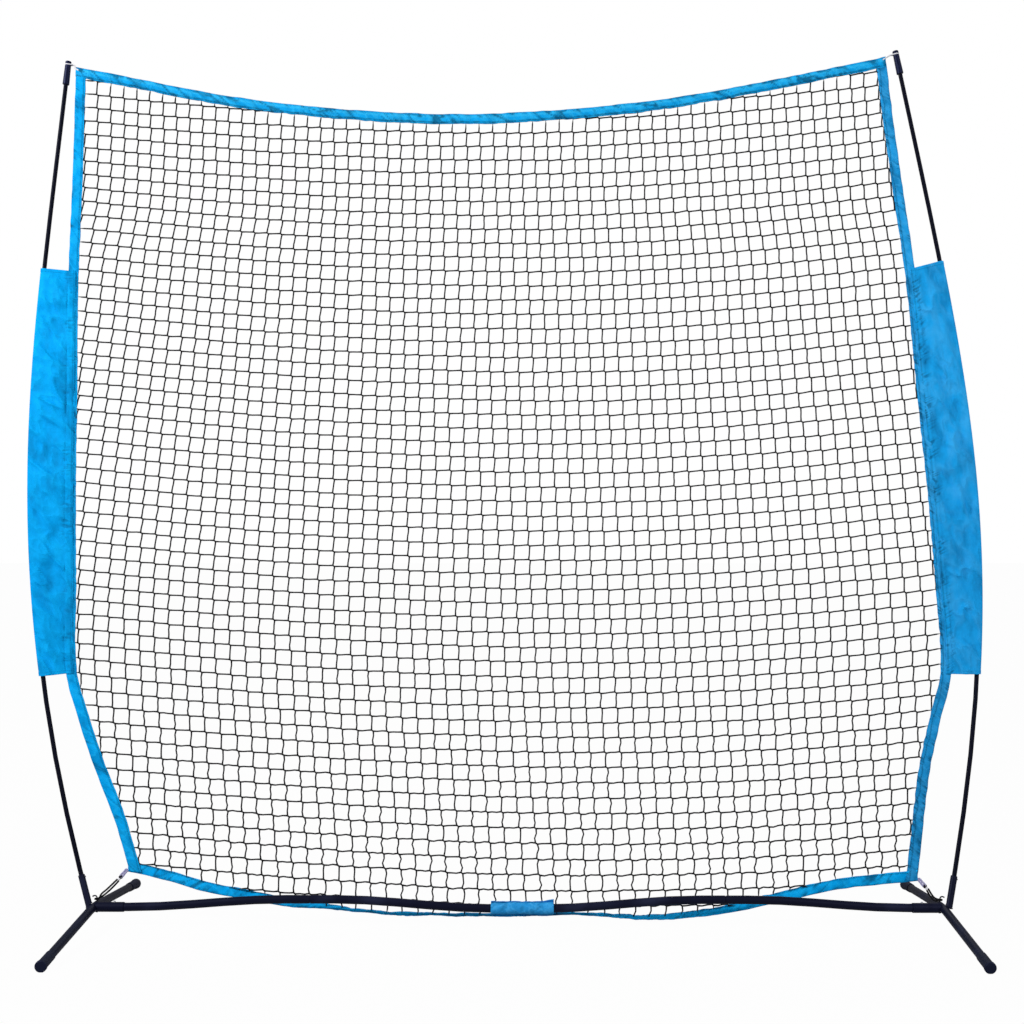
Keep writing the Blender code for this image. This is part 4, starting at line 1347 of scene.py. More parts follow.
@dataclass
class BoundEdges:
    """Top hem, bottom hem and side bindings: strips folded over the net's edge and sewn.

    Attributes:
        net: What they bind.
        finish: Their cloth.
        others: Copies of the cloth for single strips, by name: a brighter one with painted light, and a
            greyer, darker one with painted shade and sheen.
        section: Points across one face.
        layer: Thickness of one layer.
        rings: Points along a strip.
        flap: How much thicker a strip is where another wraps it.
        corner: Share of the top hem that its corner pieces take.
        corner_swell: How much thicker it is between them.
        flap_rise: Where a binding's flap ends and over what height.
        flap_stitch: Where its stitches run and how wide they look.
        flap_dark: Where its shade ends and over what height.
        seams: Where the seams run across a face, as shares of its width.
        seam_reach: How far they gather it, as such a share.
        ridge: How much of a slanted wrinkle is its sharp ridge.
        drawn_in: How much narrower the inside is than the outside.
    """

    net: NetShape
    finish: bpy.types.Material
    others: dict[str, bpy.types.Material]
    section: int = 11
    layer: float = 0.0005
    rings: int = 1300
    flap: float = 0.0013
    corner: float = 0.032
    corner_swell: float = 0.0026
    flap_rise: tuple[float, float] = (0.034, 0.006)
    flap_stitch: tuple[float, float] = (0.0268, 0.0009)
    flap_dark: tuple[float, float] = (0.0265, 0.001)
    seams: tuple[float, float] = (0.13, 0.86)
    seam_reach: float = 0.15
    ridge: float = 0.16
    drawn_in: float = 0.02

    def face(self, lines: StripLines, look: StripLook, way: int) -> tuple[list[np.ndarray], ...]:
        """One face of a strip, from its open edge to its folded one.

        Args:
            lines: What it is built on.
            look: How it looks.
            way: 1 for the front and -1 for the back.

        Returns:
            Lines of points on its outside, the same on its inside, and the outside's painted shade.
        """
        puckers, marks, width, rolls = look.puckers, lines.marks, lines.width, look.rolls
        outside: list[np.ndarray] = []
        inside: list[np.ndarray] = []
        depths: list[np.ndarray] = []
        patch = np.clip(0.4 + wobble(puckers.seed + 70, marks, 0.05), 0, 1)
        for s in 0.5 - 0.5 * np.cos(np.linspace(0, math.pi, self.section)):
            edge = math.sqrt(max(0.0, 1 - max(0.0, 2 * s - 1) ** 6))
            near = sum(math.exp(-(((s - seam) / self.seam_reach) ** 2)) for seam in self.seams)
            level = puckers.level(s * width + (0.3 if way < 0 else 0.0), marks) * (0.35 + 0.75 * near)
            slanted = marks + 1.1 * s * width * (1 if puckers.slant >= 0 else -1)
            flat = np.full(len(marks), s * width)
            thin = np.abs(wobble2(puckers.seed + 60 + way, flat * 0.45, slanted, 0.019))
            sharp = np.clip(1 - thin / self.ridge, 0, 1)
            roll = wobble2(puckers.seed + 50 + way, flat * 0.5, slanted, 0.0125) * 0.75 - 0.5 * sharp
            flat_top = (0.72 + 0.28 * math.sin(math.pi * (0.1 + 0.5 * s))) * edge
            lift = lines.half * (flat_top + (math.sin(math.pi * s) ** 0.7 - flat_top) * look.rounded)
            lift = lift + (puckers.height * puckers.strength * level + rolls * roll) * edge
            lift = np.maximum(lift, (self.layer + 0.0001) * edge)
            under = np.maximum(lift - self.layer, 0.00004)
            for found, share, stand in (
                (outside, 1.0, lift), (inside, 1 - self.layer / self.drawn_in, under),
            ):
                middle = lines.low + (lines.high - lines.low) * s * share + lines.slow[:, None] * lines.normal
                found.append(middle + lines.normal * (stand * way)[:, None])
            # Painted shade: in the valleys of the gathers and the slanted wrinkles, along the wrinkles' sharp
            # creases, and towards the folded edge.
            dark = puckers.crease(level) + sharp * patch * rolls / 0.0017
            valley = np.clip(-roll - 0.25, 0, 1) + 0.30 * max(0.0, s - 0.86) / 0.14
            depths.append(dark + valley * rolls / 0.0016 + look.shade * (0.7 + 0.6 * roll))
        return outside, inside, depths

    def strip(
        self, shop: Workshop, name: str, low: np.ndarray, high: np.ndarray, swell: np.ndarray, look: StripLook
    ) -> bpy.types.Object:
        """A strip folded along one edge, as two layers.

        Args:
            shop: Where it is built.
            name: The piece's name.
            low: Points of the open edge.
            high: Points of the folded edge.
            swell: How much thicker it is along its length.
            look: How it looks.

        Returns:
            The new object.
        """
        along = unit(np.gradient((low + high) / 2, axis=0))
        across = unit(high - low)
        normal = unit(np.cross(along, across))
        marks = distances(low)
        width = float(np.linalg.norm(high - low, axis=1).mean())
        seed, strength = look.puckers.seed, look.puckers.strength
        low = low + across * (wobble(seed + 30, marks, 0.016) * 0.0006 * strength)[:, None]
        high = high + across * (wobble(seed + 31, marks, 0.022) * 0.0005 * strength)[:, None]
        slow = wobble(seed + 7, marks, 0.05) * 0.0007 * strength
        lines = StripLines(low, high, normal, slow, marks, self.net.hems.cloth / 2 + swell, width)
        front, front_inside, front_dark = self.face(lines, look, 1)
        back, back_inside, back_dark = self.face(lines, look, -1)
        rings = front + back[::-1][1:] + back_inside + front_inside[::-1][1:]
        depth = front_dark + back_dark[::-1][1:]
        depth = depth + [0 * marks] * (len(rings) - len(depth))
        finish = self.others.get(name, self.finish)
        made = shop.loft(name, [np.stack(rings, axis=1)], finish, crease=np.stack(depth, axis=1))
        return made

    def build_top(self, shop: Workshop, f: np.ndarray) -> None:
        """Builds the top hem.

        Args:
            shop: Where it is built.
            f: Places along it, from 0 to 1.
        """
        wave = wobble(3, f * 2.1, 0.06) * 0.0010
        low, high = self.net.top_point(f, self.net.hems.top + wave), self.net.top_point(f, 0.0)
        ends = np.clip(1 - np.minimum(f, 1 - f) * 2.0 / self.corner, 0, 1)
        swell = self.flap * np.clip(ends * 8, 0, 1) + self.corner_swell * np.clip(1 - ends * 8, 0, 1)
        look = StripLook(Puckers(11, 1.8, 0.0105, 0.9, cover=0.7), 0.0021, 0.8)
        top = self.strip(shop, "top_edge_hem", low, high, swell, look)
        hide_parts("top_hem")

    def build_bottom(self, shop: Workshop, f: np.ndarray) -> None:
        """Builds the bottom hem.

        Args:
            shop: Where it is built.
            f: Places along it, from 0 to 1.
        """
        half = np.full(len(f), self.net.hems.bottom / 2)
        low, high = self.net.hem_point(f, -half), self.net.hem_point(f, half)
        flat = np.clip(self.net.hem_turn(f) / 90, 0, 1)
        low[:, 2] += wobble(5, f * 1.9, 0.045) * 0.0013 * flat
        high[:, 2] += wobble(6, f * 1.9, 0.03) * 0.0016 * flat
        look = StripLook(Puckers(12, 1.3, 0.0120, 0.8), 0.0014, 0.5)
        bottom = self.strip(shop, "bottom_edge_hem", high, low, 0.0012 * np.clip(f * 20, 0, 1), look)
        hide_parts("bottom_hem")

    def build_side(self, shop: Workshop, side: SideSizes) -> None:
        """Builds one side binding.

        Args:
            shop: Where it is built.
            side: Which side.
        """
        outer, inner = (
            self.net.side_point(side.name, np.linspace(*self.limits(side, inset), self.rings), inset)
            for inset in (0.0, self.net.hems.side)
        )
        rise = outer[:, 2] - outer[0, 2]
        swell, dark = (
            np.clip((end - rise) / over, 0, 1) for end, over in (self.flap_rise, self.flap_dark)
        )
        stitch, wide = self.flap_stitch
        patch = 0.42 * dark + 0.5 * np.exp(-(((rise - stitch) / wide) ** 2))
        strong = side.sign > 0
        strength, cover, rolls, share = (1.7, 0.75, 0.0012, 0.35) if strong else (1.1, 0.4, 0.0009, 1.0)
        puckers = Puckers(20 + side.sign, strength, 0.0085, 0.6 * side.sign, cover=cover)
        look = StripLook(puckers, rolls, shade=patch * share)
        made = self.strip(shop, f"{side.name}_edge_binding", inner, outer, self.flap * swell, look)
        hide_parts(f"{side.name}_binding")

    def build(self, shop: Workshop) -> None:
        """Builds the four strips.

        Args:
            shop: Where they are built.
        """
        f = np.linspace(0, 1, self.rings)
        self.build_top(shop, f)
        self.build_bottom(shop, f)
        for side in SIDES:
            self.build_side(shop, side)

    def limits(self, side: SideSizes, inset: float) -> tuple[float, float]:
        """Heights between which a side binding runs, a way in from its outer edge.

        Its lower end wraps the bottom hem's end as a square flap, and its upper end tucks
        into the top hem.

        Args:
            side: Which side.
            inset: How far in from its outer edge.

        Returns:
            The lower and the upper height.
        """
        share = inset / 2.0
        place = share if side.sign < 0 else 1.0 - share
        outer = 0.0 if side.sign < 0 else 1.0
        hems = self.net.hems
        flap = float(self.net.hem_point(outer, np.array(-hems.bottom / 2))[2])
        here = float(self.net.hem_point(place, np.array(-hems.bottom / 2))[2])
        high = float(self.net.top_point(place, hems.top)[2])
        return 0.6 * flap + 0.4 * here + 0.0004, high + 0.012


@dataclass
class SleeveLines:
    """The lines that a sleeve is built on, with one entry for each height.

    Attributes:
        z: The heights.
        ends: Distance from the nearer end of the sleeve.
        band: 1 within its end hems, else 0.
        edge: The net's outer edge.
        centre: The pole's centreline.
        run: The way from the pole to the edge.
        length: The distance between them.
        face: The way that the front looks.
        reach: The angle from run at which the cloth leaves the pole.
    """

    z: np.ndarray
    ends: np.ndarray
    band: np.ndarray
    edge: np.ndarray
    centre: np.ndarray
    run: np.ndarray
    length: np.ndarray
    face: np.ndarray
    reach: np.ndarray

    def round_pole(self, angle: np.ndarray, normal: np.ndarray, radius: Any) -> np.ndarray:
        """Points round the pole, at an angle from run towards a normal."""
        way = self.run * np.cos(angle)[:, None] + normal * np.sin(angle)[:, None]
        return self.centre + way * radius


@dataclass
class PoleSleeve:
    """Wide sleeve of thin cloth round a pole, sewn over the binding, with soft folds and puckers.

    Attributes:
        net: What it hangs on.
        side: Which side.
        finish: Its cloth.
        rows: Points up the sleeve.
        flats: Points across one face.
        arcs: Points round a quarter of the pole.
        radius: Outside radius round the pole.
        seam: Distance between the faces at the binding.
        cloth: Thickness of the cloth.
        hem: Width of the hems at both ends.
        lap: Places across the lap on the binding, as shares of its width.
        laps: That width on the left and the right.
        stands: How far the lap stands out at each place.
        low_drop: How much lower its lower end is at the left pole.
        extra_top: How much higher its upper end is on the right.
        hem_stand: How much thicker its hems are.
        fold_slant: How steeply its folds fall towards the pole.
        left_slant: What is added to the left side's slant.
        lap_pucker: Height of the gathers on the lap.
        face_pucker: Height of the gathers on a face.
        pucker_reach: How far they reach across it.
        calm_end: How far from an end the folds are low.
        crowding: How closely the points stand at the seam.
    """

    net: NetShape
    side: SideSizes
    finish: Polyester
    rows: int = 560
    flats: int = 24
    arcs: int = 7
    radius: float = 0.0088
    seam: float = 0.0026
    cloth: float = 0.0008
    hem: float = 0.009
    lap: tuple[float, ...] = (1.0, 0.90, 0.72, 0.50, 0.27, 0.09)
    laps: tuple[float, float] = (0.0195, 0.0135)
    stands: tuple[float, ...] = (0.0013, 0.0017, 0.0020, 0.0022, 0.0023, 0.0022)
    low_drop: float = 0.0055
    extra_top: float = 0.006
    hem_stand: float = 0.0005
    fold_slant: float = 0.85
    left_slant: float = 0.004
    lap_pucker: float = 0.0005
    face_pucker: float = 0.0010
    pucker_reach: float = 0.009
    calm_end: float = 0.02
    crowding: float = 1.35

    def folds(self, t: float, z: np.ndarray, seed: int, width: float) -> np.ndarray:
        """Height of the soft folds of one face.

        Args:
            t: 0 at the seam and 1 at the pole.
            z: Height.
            seed: Which folds.
            width: Distance from the seam to the pole.

        Returns:
            How far the face stands out, in metres.
        """
        across = t * width
        run = z + across * self.fold_slant * self.side.sign
        flat = np.full(len(z), across)
        if self.side.sign < 0:
            broad = wobble2(seed + 11, flat * 0.55, run, 0.060)
            medium = wobble2(seed + 17, flat * 0.7 + z * 0.2, run, 0.027)
        else:
            broad = wobble2(seed + 11, flat * 1.5 + z * 0.16, run * 0.45, 0.040)
            medium = wobble2(seed + 17, flat * 1.1, run * 0.8, 0.026)
        ridge = 1.0 - np.abs(wobble2(seed + 23, flat * 0.5, run * 0.9, 0.043))
        middle = math.sin(math.pi * min(1.0, max(0.0, t))) ** 0.55
        return middle * (0.0018 + 0.0066 * broad + 0.0050 * medium + 0.0075 * (ridge**6 - 0.22))

    def lines(self, tall: float) -> SleeveLines:
        """Works out the lines that the sleeve is built on.

        Args:
            tall: The sleeve's height.

        Returns:
            The lines.
        """
        net, side = self.net, self.side
        u = np.linspace(0, 1, self.rows)
        z = net.hems.sleeve_bottom + tall * u
        slant, drop = (side.slant, 0.0) if side.sign > 0 else (side.slant + self.left_slant, self.low_drop)
        centre = net.poles[side.name].at_height(z + slant * u * u - drop * (1 - u) ** 6)
        edge = net.side_point(side.name, z, 0.0)
        run = edge - centre
        run[:, 2] = 0
        length = np.linalg.norm(run, axis=1)
        run = unit(run)
        face = np.stack([run[:, 1], -run[:, 0], 0 * length], axis=1)
        face *= np.where(face[:, 1] > 0, -1.0, 1.0)[:, None]
        reach = np.arccos(np.clip((self.skin_radius() - self.seam / 2) / length, -1, 1))
        ends = np.minimum(u, 1 - u) * tall
        band = np.clip((self.hem - ends) / 0.0015, 0, 1)
        return SleeveLines(z, ends, band, edge, centre, run, length, face, reach)

    def skin_radius(self) -> float:
        """Radius of the middle of the cloth round the pole."""
        return self.radius - self.cloth / 2

    def half(self, lines: SleeveLines, way: int) -> list[tuple[np.ndarray, np.ndarray]]:
        """One face, from its lap on the binding to the far side of the pole.

        Args:
            lines: What it is built on.
            way: 1 for the front and -1 for the back.

        Returns:
            Lines of points up the sleeve, each with the painted shade of its creases.
        """
        side, z = self.side, lines.z
        seed = 40 + 5 * side.sign + 3 * way
        strength, cover = (1.7, 0.7) if side.sign > 0 else (1.1, 0.5)
        puckers = Puckers(seed, strength, 0.0090, 0.25 * side.sign, cover=cover)
        found: list[tuple[np.ndarray, np.ndarray]] = []
        inboard, outwards = np.array([-side.sign, 0.0, 0.0]), FRONT * way
        for k, share in enumerate(self.lap):
            inset = share * self.laps[side.sign > 0]
            level = puckers.level(inset, z)
            stand = self.stands[k] + self.lap_pucker * puckers.strength * level * (0.5 if k < 2 else 1.0)
            points = lines.edge + inboard * inset + outwards * stand[:, None]
            # Painted shade in the valleys of the lap's gathers.
            found.append((points, puckers.crease(level) * (0.5 if k < 2 else 0.9)))
        radius = self.skin_radius()
        normal = lines.face * way
        near = lines.round_pole(lines.reach, normal, radius)
        far = lines.edge + normal * (self.seam / 2)
        width = float(lines.length.mean())
        for k in range(self.flats):
            t = (k / self.flats) ** self.crowding
            across = t * width
            close = math.exp(-((across / self.pucker_reach) ** 1.4))
            level = puckers.level(-across, z) * (1.0 - 0.75 * (k == 0))
            out = self.folds(t, z, seed, width)
            out = out * (1 - 0.5 * np.exp(-lines.ends / self.calm_end))
            out = out + self.face_pucker * puckers.strength * close * level
            room = self.seam / 2 + (radius - self.seam / 2) * t
            out = np.maximum(out, -0.6 * room) + lines.band * self.hem_stand * min(1.0, 6 * t)
            # Painted shade in the gathers' valleys, and a broader painted shade close to the seam.
            dark = (puckers.crease(level) + 0.09 * puckers.strength * (1 + level)) * close
            found.append((far + (near - far) * t + normal * out[:, None], dark))
        bulge = (radius + lines.band * self.hem_stand)[:, None]
        for k in range(self.arcs):
            angle = lines.reach + (math.pi - lines.reach) * k / self.arcs
            found.append((lines.round_pole(angle, normal, bulge), 0 * z))
        return found

    def build(self, shop: Workshop) -> bpy.types.Object:
        """Builds the sleeve.

        Args:
            shop: Where it is built.

        Returns:
            The new object.
        """
        side, hems = self.side, self.net.hems
        tall = hems.sleeve_top - hems.sleeve_bottom + (self.extra_top if side.sign > 0 else 0.0)
        lines = self.lines(tall)
        bulge = (self.skin_radius() + lines.band * self.hem_stand)[:, None]
        outermost = (lines.centre - lines.run * bulge, 0 * lines.z)
        found = self.half(lines, 1) + [outermost] + self.half(lines, -1)[::-1]
        skin = np.stack([points for points, _ in found], axis=1)
        depths = np.stack([dark for _, dark in found], axis=1)
        length_up = float(np.linalg.norm(np.diff(skin, axis=0), axis=2).mean(axis=1).sum())
        cloth = replace(
            self.finish,
            name=f"{side.name}_{self.finish.name}",
            hems=(self.hem - 0.001, length_up - self.hem + 0.001),
            fold_lean=-0.95 if side.sign < 0 else -0.35,
            low_darkening=0.3,
            colour=rgb(0, 164, 242),
            pale=rgb(8, 182, 255),
        )
        # The right sleeve takes a greyer copy: a painted whitish sheen where the light grazes it.
        if side.sign > 0:
            cloth = replace(cloth, colour=rgb(26, 170, 247), deep=rgb(18, 132, 198), pale=rgb(60, 180, 250))
        made = shop.loft(f"{side.name}_sleeve", [skin], cloth.material(), caps=False, crease=depths)
        wall = made.modifiers.new("cloth", "SOLIDIFY")
        wall.thickness = self.cloth
        wall.offset = 0.0
        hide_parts(f"{side.name}_pole_sleeve")
        tall * 1.02
        return made


@dataclass
class CrossbarWrap:
    """Hook-and-loop wrap round the crossbar's middle joint, with its loose end lifted.

    Attributes:
        net: The net, whose sizes hold its place and length.
        sizes: The frame's sizes.
        finish: Its cloth.
        cloth: Its thickness.
        lap: How much farther out each turn lies.
        stations: Points along the crossbar.
        turns: Points round it.
        start: Where its inner end lies, as an angle from the back.
        wound: How far it is wound from there.
        lifted: Share of its outer end that is lifted.
        broad_step: Size of its broad wrinkles.
        sharp_step: Size of its sharp wrinkles.
        ear_low: How far the lifted end stands out.
        ear_high: How much farther its right corner does.
    """

    net: NetShape
    sizes: FrameSizes
    finish: bpy.types.Material
    cloth: float = 0.0012
    lap: float = 0.0017
    stations: int = 56
    turns: int = 90
    start: float = math.radians(-349)
    wound: float = math.radians(428)
    lifted: float = 0.05
    broad_step: float = 0.0105
    sharp_step: float = 0.0075
    ear_low: float = 0.0010
    ear_high: float = 0.0050

    def build(self, shop: Workshop) -> bpy.types.Object:
        """Builds the wrap.

        Args:
            shop: Where it is built.

        Returns:
            The new object.
        """
        inner = self.sizes.bar_radius + 1.8 * CLEAR + self.cloth / 2
        middle = self.sizes.hub_height - self.sizes.bar_sag
        share = np.linspace(0, 1, self.turns)
        angle = self.start + self.wound * share
        radius = inner + self.lap * self.wound / (2 * math.pi) * share
        lift = np.clip((share - (1 - self.lifted)) / self.lifted, 0, 1) ** 2
        x = np.linspace(-0.5, 0.5, self.stations) * self.net.hems.wrap_length
        away = np.stack([0 * angle, np.cos(angle), np.sin(angle)], axis=1)
        rings = []
        depths: list[np.ndarray] = []
        for place in x:
            flat = np.full(self.turns, place)
            broad = wobble2(61, flat * 0.5, share * 0.09 + place * 0.55, self.broad_step)
            thin = wobble2(67, flat * 0.6, share * 0.09 + place * 0.75, self.sharp_step)
            sharp = 1.0 - 2.0 * np.abs(thin)
            puff = 0.0007 * broad + 0.0005 * sharp + 0.0017 * np.clip(np.sin(angle), 0, 1) ** 2
            # Painted shade on the wrap's underside and in the valleys of its wrinkles.
            under = np.clip(-2.4 * np.sin(angle) - 1.5, 0, 1)
            dark = np.maximum(0.45 * np.clip(-1.4 * broad - 0.9 * sharp - 0.2, 0, 1), 0.8 * under)
            depths.append(np.concatenate([dark, 0 * dark]))
            corner = np.clip((place / self.net.hems.wrap_length - 0.30) / 0.2, 0, 1)
            ear = lift * (self.ear_low + self.ear_high * corner)
            r = radius + np.maximum(puff + 0.0004, -0.0001) + ear
            line = np.array([place + self.net.wrap_x, 0.0, middle]) + away * r[:, None]
            rings.append(np.concatenate([line + away * self.cloth / 2, (line - away * self.cloth / 2)[::-1]]))
        made = shop.loft("wrap_strap", [np.stack(rings)], self.finish, crease=np.stack(depths))
        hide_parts("crossbar_wrap")
        around = float(np.sum(radius) * self.wound / self.turns)
        return made


@dataclass
class SquareMesh:
    """The knotless mesh: every strand, woven through its neighbours at short slanted joints.

    Attributes:
        net: What it hangs in.
        finish: Its twine.
        shift: Where the hubs' middle stands along X.
        radius: Half the thickness of a strand.
        joint_run: Half a joint's length across.
        joint_drop: Half its fall.
        sides: Points round a strand.
        tuck: How far a strand reaches under the cloth.
        columns: How many run down, with those that lie outside the edges.
        rows: How many run across, with those that lie outside the edges.
        phase: Place of the middle column, in pitches.
        top_level: Height of the highest row where it is lowest.
        jitter: How far a crossing is off its place.
        reach: How far across the drawn terms count.
        height_range: The heights between which they count.
        mid_height: The height that they count from.
        swell: How much thicker a strand is at a joint.
        weave: How far a joint stands out of the net.
        hidden: How far under the cloth a strand grows thin.
        taper: Thickness of its end, as a share.
        thin: Thickness under the cloth, as a share of the radius.
        wave: How far a strand is off its straight way.
        slack_wave: How much more where the net is slack.
        slack_below: The height below which it grows slack.
        heights: Chosen heights, at which the next five are given.
        middles: The lattice's middle.
        pitches: Distance between columns.
        drops: Distance to the next row.
        lows: Where a row is lowest.
        sags: How much a row rises from there, per square metre.
        drawn_right: Terms that draw the crossings to the right.
        drawn_up: Terms that draw them up.
    """

    net: NetShape
    finish: bpy.types.Material
    shift: float
    radius: float = 0.0019
    joint_run: float = 0.0022
    joint_drop: float = 0.0014
    sides: int = 5
    tuck: float = 0.0026
    columns: int = 66
    rows: int = 62
    phase: float = 0.35
    top_level: float = 2.0309 + 3 * 0.0367
    jitter: float = 0.0011
    reach: float = 0.98
    height_range: tuple[float, float] = (0.16, 2.0)
    mid_height: float = 1.05
    swell: float = 1.2
    weave: float = 0.0006
    hidden: float = 0.0012
    taper: float = 0.35
    thin: float = 0.45
    wave: float = 0.0005
    slack_wave: float = 0.0022
    slack_below: float = 0.85
    heights: tuple[float, ...] = (
        0.05, 0.14, 0.28, 0.42, 0.56, 0.71, 0.86, 1.01, 1.16, 1.31, 1.47, 1.63, 1.78, 1.94, 2.11,
    )
    middles: tuple[float, ...] = (
        0.0076, -0.001, -0.0144, -0.027, -0.038, -0.0473, -0.0547, -0.0613,
        -0.0677, -0.0741, -0.0804, -0.087, -0.0944, -0.1035, -0.1143,
    )
    pitches: tuple[float, ...] = (
        0.0366, 0.0368, 0.0371, 0.0374, 0.0377, 0.0379, 0.0377, 0.0373,
        0.0369, 0.0364, 0.0359, 0.0355, 0.0348, 0.0346, 0.0345,
    )
    drops: tuple[float, ...] = (
        0.0346, 0.0349, 0.0354, 0.0355, 0.0358, 0.0358, 0.0361, 0.0364,
        0.0365, 0.0367, 0.0370, 0.0370, 0.0367, 0.0367, 0.0367,
    )
    lows: tuple[float, ...] = (
        0.264, 0.261, 0.256, 0.237, 0.218, 0.199, 0.180, 0.160,
        0.140, 0.105, 0.070, 0.034, -0.002, -0.039, -0.052,
    )
    sags: tuple[float, ...] = (
        0.041, 0.0406, 0.0403, 0.0424, 0.0445, 0.0466, 0.0486, 0.0506,
        0.0527, 0.0538, 0.0550, 0.0562, 0.0574, 0.0586, 0.0583,
    )
    drawn_right: tuple[float, ...] = (
        -0.01009, 0.00294, -0.00923, 0.01432, 0.00219, 0.00644, 0.00207, 0.00099,
        -0.00137, 0.00373, 0.00172, -0.00143, -0.00672, -0.00394, -0.00308,
    )
    drawn_up: tuple[float, ...] = (
        0.00094, -0.00195, 0.00575, 0.00675, 0.00066, 0.01102, 0.00007, -0.00353,
        0.00029, -0.00282, -0.00206, -0.00101, -0.00381, -0.00232, -0.00903,
    )

    def drawn(self, x: np.ndarray, z: np.ndarray, terms: Sequence[float]) -> np.ndarray:
        """How far the crossings are drawn aside by the bound edges.

        Args:
            x: Their places across.
            z: Their heights.
            terms: Factors of the powers of both, up to the fourth.

        Returns:
            The distance at each.
        """
        a, b = np.clip(x, -self.reach, self.reach), np.clip(z, *self.height_range) - self.mid_height
        powers = [(n - k, k) for n in range(5) for k in range(n + 1)]
        return sum(term * a**m * b**k for term, (m, k) in zip(terms, powers, strict=True))

    def crossings(self) -> np.ndarray:
        """Where column i meets row j, as x and z, for the whole lattice.

        Returns:
            An array of columns by rows by two.
        """
        middle, pitch, drop, low, sag = (
            Knots(self.heights, values)
            for values in (self.middles, self.pitches, self.drops, self.lows, self.sags)
        )
        levels = [self.top_level]
        for _ in range(self.rows - 1):
            levels.append(levels[-1] - float(drop(levels[-1])))
        z0 = np.array(levels)[None, :]
        i = (np.arange(self.columns) - self.columns // 2 + self.phase)[:, None]
        z = np.broadcast_to(z0, (self.columns, self.rows)).copy()
        for _ in range(8):
            x = middle(z) + i * pitch(z)
            z = z0 + sag(z0) * (x - low(z0)) ** 2
        x, z = x + self.drawn(x, z, self.drawn_right), z + self.drawn(x, z, self.drawn_up)
        a, b = np.indices(x.shape).astype(float)
        x = x + self.jitter * wobble2(71, a, b, 1.37)
        z = z + self.jitter * wobble2(73, a, b, 1.61)
        return np.stack([x + self.shift, z], axis=-1)

    def onto_net(self, x: np.ndarray, z: np.ndarray, off: Any = 0.0) -> np.ndarray:
        """Points of the hanging net.

        Args:
            x: Their places across.
            z: Their heights.
            off: How far behind its middle they lie.

        Returns:
            The points.
        """
        near = np.clip((0.55 - z) / 0.5, 0, 1) ** 2
        y = self.net.depth(z) - self.net.pull_forward(x) * near
        return np.stack([x, y + off, z], axis=-1)

    def inside(self, x: np.ndarray, z: np.ndarray, tuck: float) -> np.ndarray:
        """Whether places lie within the bound edges.

        Args:
            x: The places across.
            z: Their heights.
            tuck: How far under the cloth still counts.

        Returns:
            True or False for each.
        """
        net, hems = self.net, self.net.hems
        left = net.side_point("left", z, hems.side - tuck)[..., 0]
        right = net.side_point("right", z, hems.side - tuck)[..., 0]
        a, b = net.corners["left"], net.corners["right"]
        f = np.clip((x - a[0]) / (b[0] - a[0]), 0, 1)
        top = net.top_point(f, hems.top - tuck)[..., 2]
        low, high = net.hem_ends()
        g = np.clip((x - low) / (high - low), 0, 1)
        bottom = net.hem_point(g, np.full(np.shape(g), hems.bottom / 2 - tuck))[..., 2]
        return (x > left) & (x < right) & (z < top) & (z > bottom)

    def strand(self, nodes: np.ndarray, down: bool, seed: int) -> list[np.ndarray]:
        """Rings of one strand, cut at the bound edges.

        Args:
            nodes: The crossings that it passes, in order.
            down: Whether it runs down, as a column, or to the right, as a row.
            seed: Which waves it shows.

        Returns:
            The rings of each stretch that lies within the edges.
        """
        z = nodes[:, 1]
        joint = np.array([self.joint_run, -self.joint_drop])
        enter, leave = nodes - joint, nodes + joint
        span = np.roll(enter, -1, axis=0) - leave
        slack = np.clip((self.slack_below - z) / 0.8, 0, 1) ** 1.5
        amount = self.wave + self.slack_wave * slack
        bow, swing = (wobble(which, np.arange(len(z)), 1.0) * amount for which in (seed, seed + 400))
        side = np.array([1.0, 0.0] if down else [0.0, 0.5])
        one = leave + span * 0.33 + side * (bow + swing)[:, None]
        two = leave + span * 0.67 + side * (bow - swing)[:, None]
        path = np.stack([enter, leave, one, two], axis=1).reshape(-1, 2)[:-2]
        thick = np.tile([self.swell, self.swell, 1.0, 1.0], len(z))[:-2] * self.radius
        off = np.tile([1.0, 1.0, 0.0, 0.0], len(z))[:-2] * (self.weave if down else -self.weave)
        points = self.onto_net(path[:, 0], path[:, 1], off)
        thick = np.where(self.inside(path[:, 0], path[:, 1], -self.hidden), thick, self.thin * self.radius)
        along = unit(np.gradient(points, axis=0))
        first = unit(np.cross(along, BACK))
        rings = rings_round(points, first, np.cross(along, first), thick, self.sides)
        return self.cut(rings, points, self.inside(path[:, 0], path[:, 1], self.tuck))

    def cut(self, rings: np.ndarray, points: np.ndarray, kept: np.ndarray) -> list[np.ndarray]:
        """Keeps the stretches inside the edges, each ending exactly at an edge.

        Args:
            rings: The strand's rings.
            points: Its centreline.
            kept: Whether each ring lies inside.

        Returns:
            The rings of each stretch.
        """
        found: list[np.ndarray] = []
        ends = np.flatnonzero(np.diff(np.concatenate([[False], kept, [False]]).astype(int)))
        for start, after in zip(ends[::2], ends[1::2], strict=True):
            part = rings[start:after]
            if start > 0:
                part = np.concatenate([self.meet(rings, points, start, start - 1)[None], part])
            if after < len(kept):
                part = np.concatenate([part, self.meet(rings, points, after - 1, after)[None]])
            if len(part) > 2:
                found.append(part)
        return found

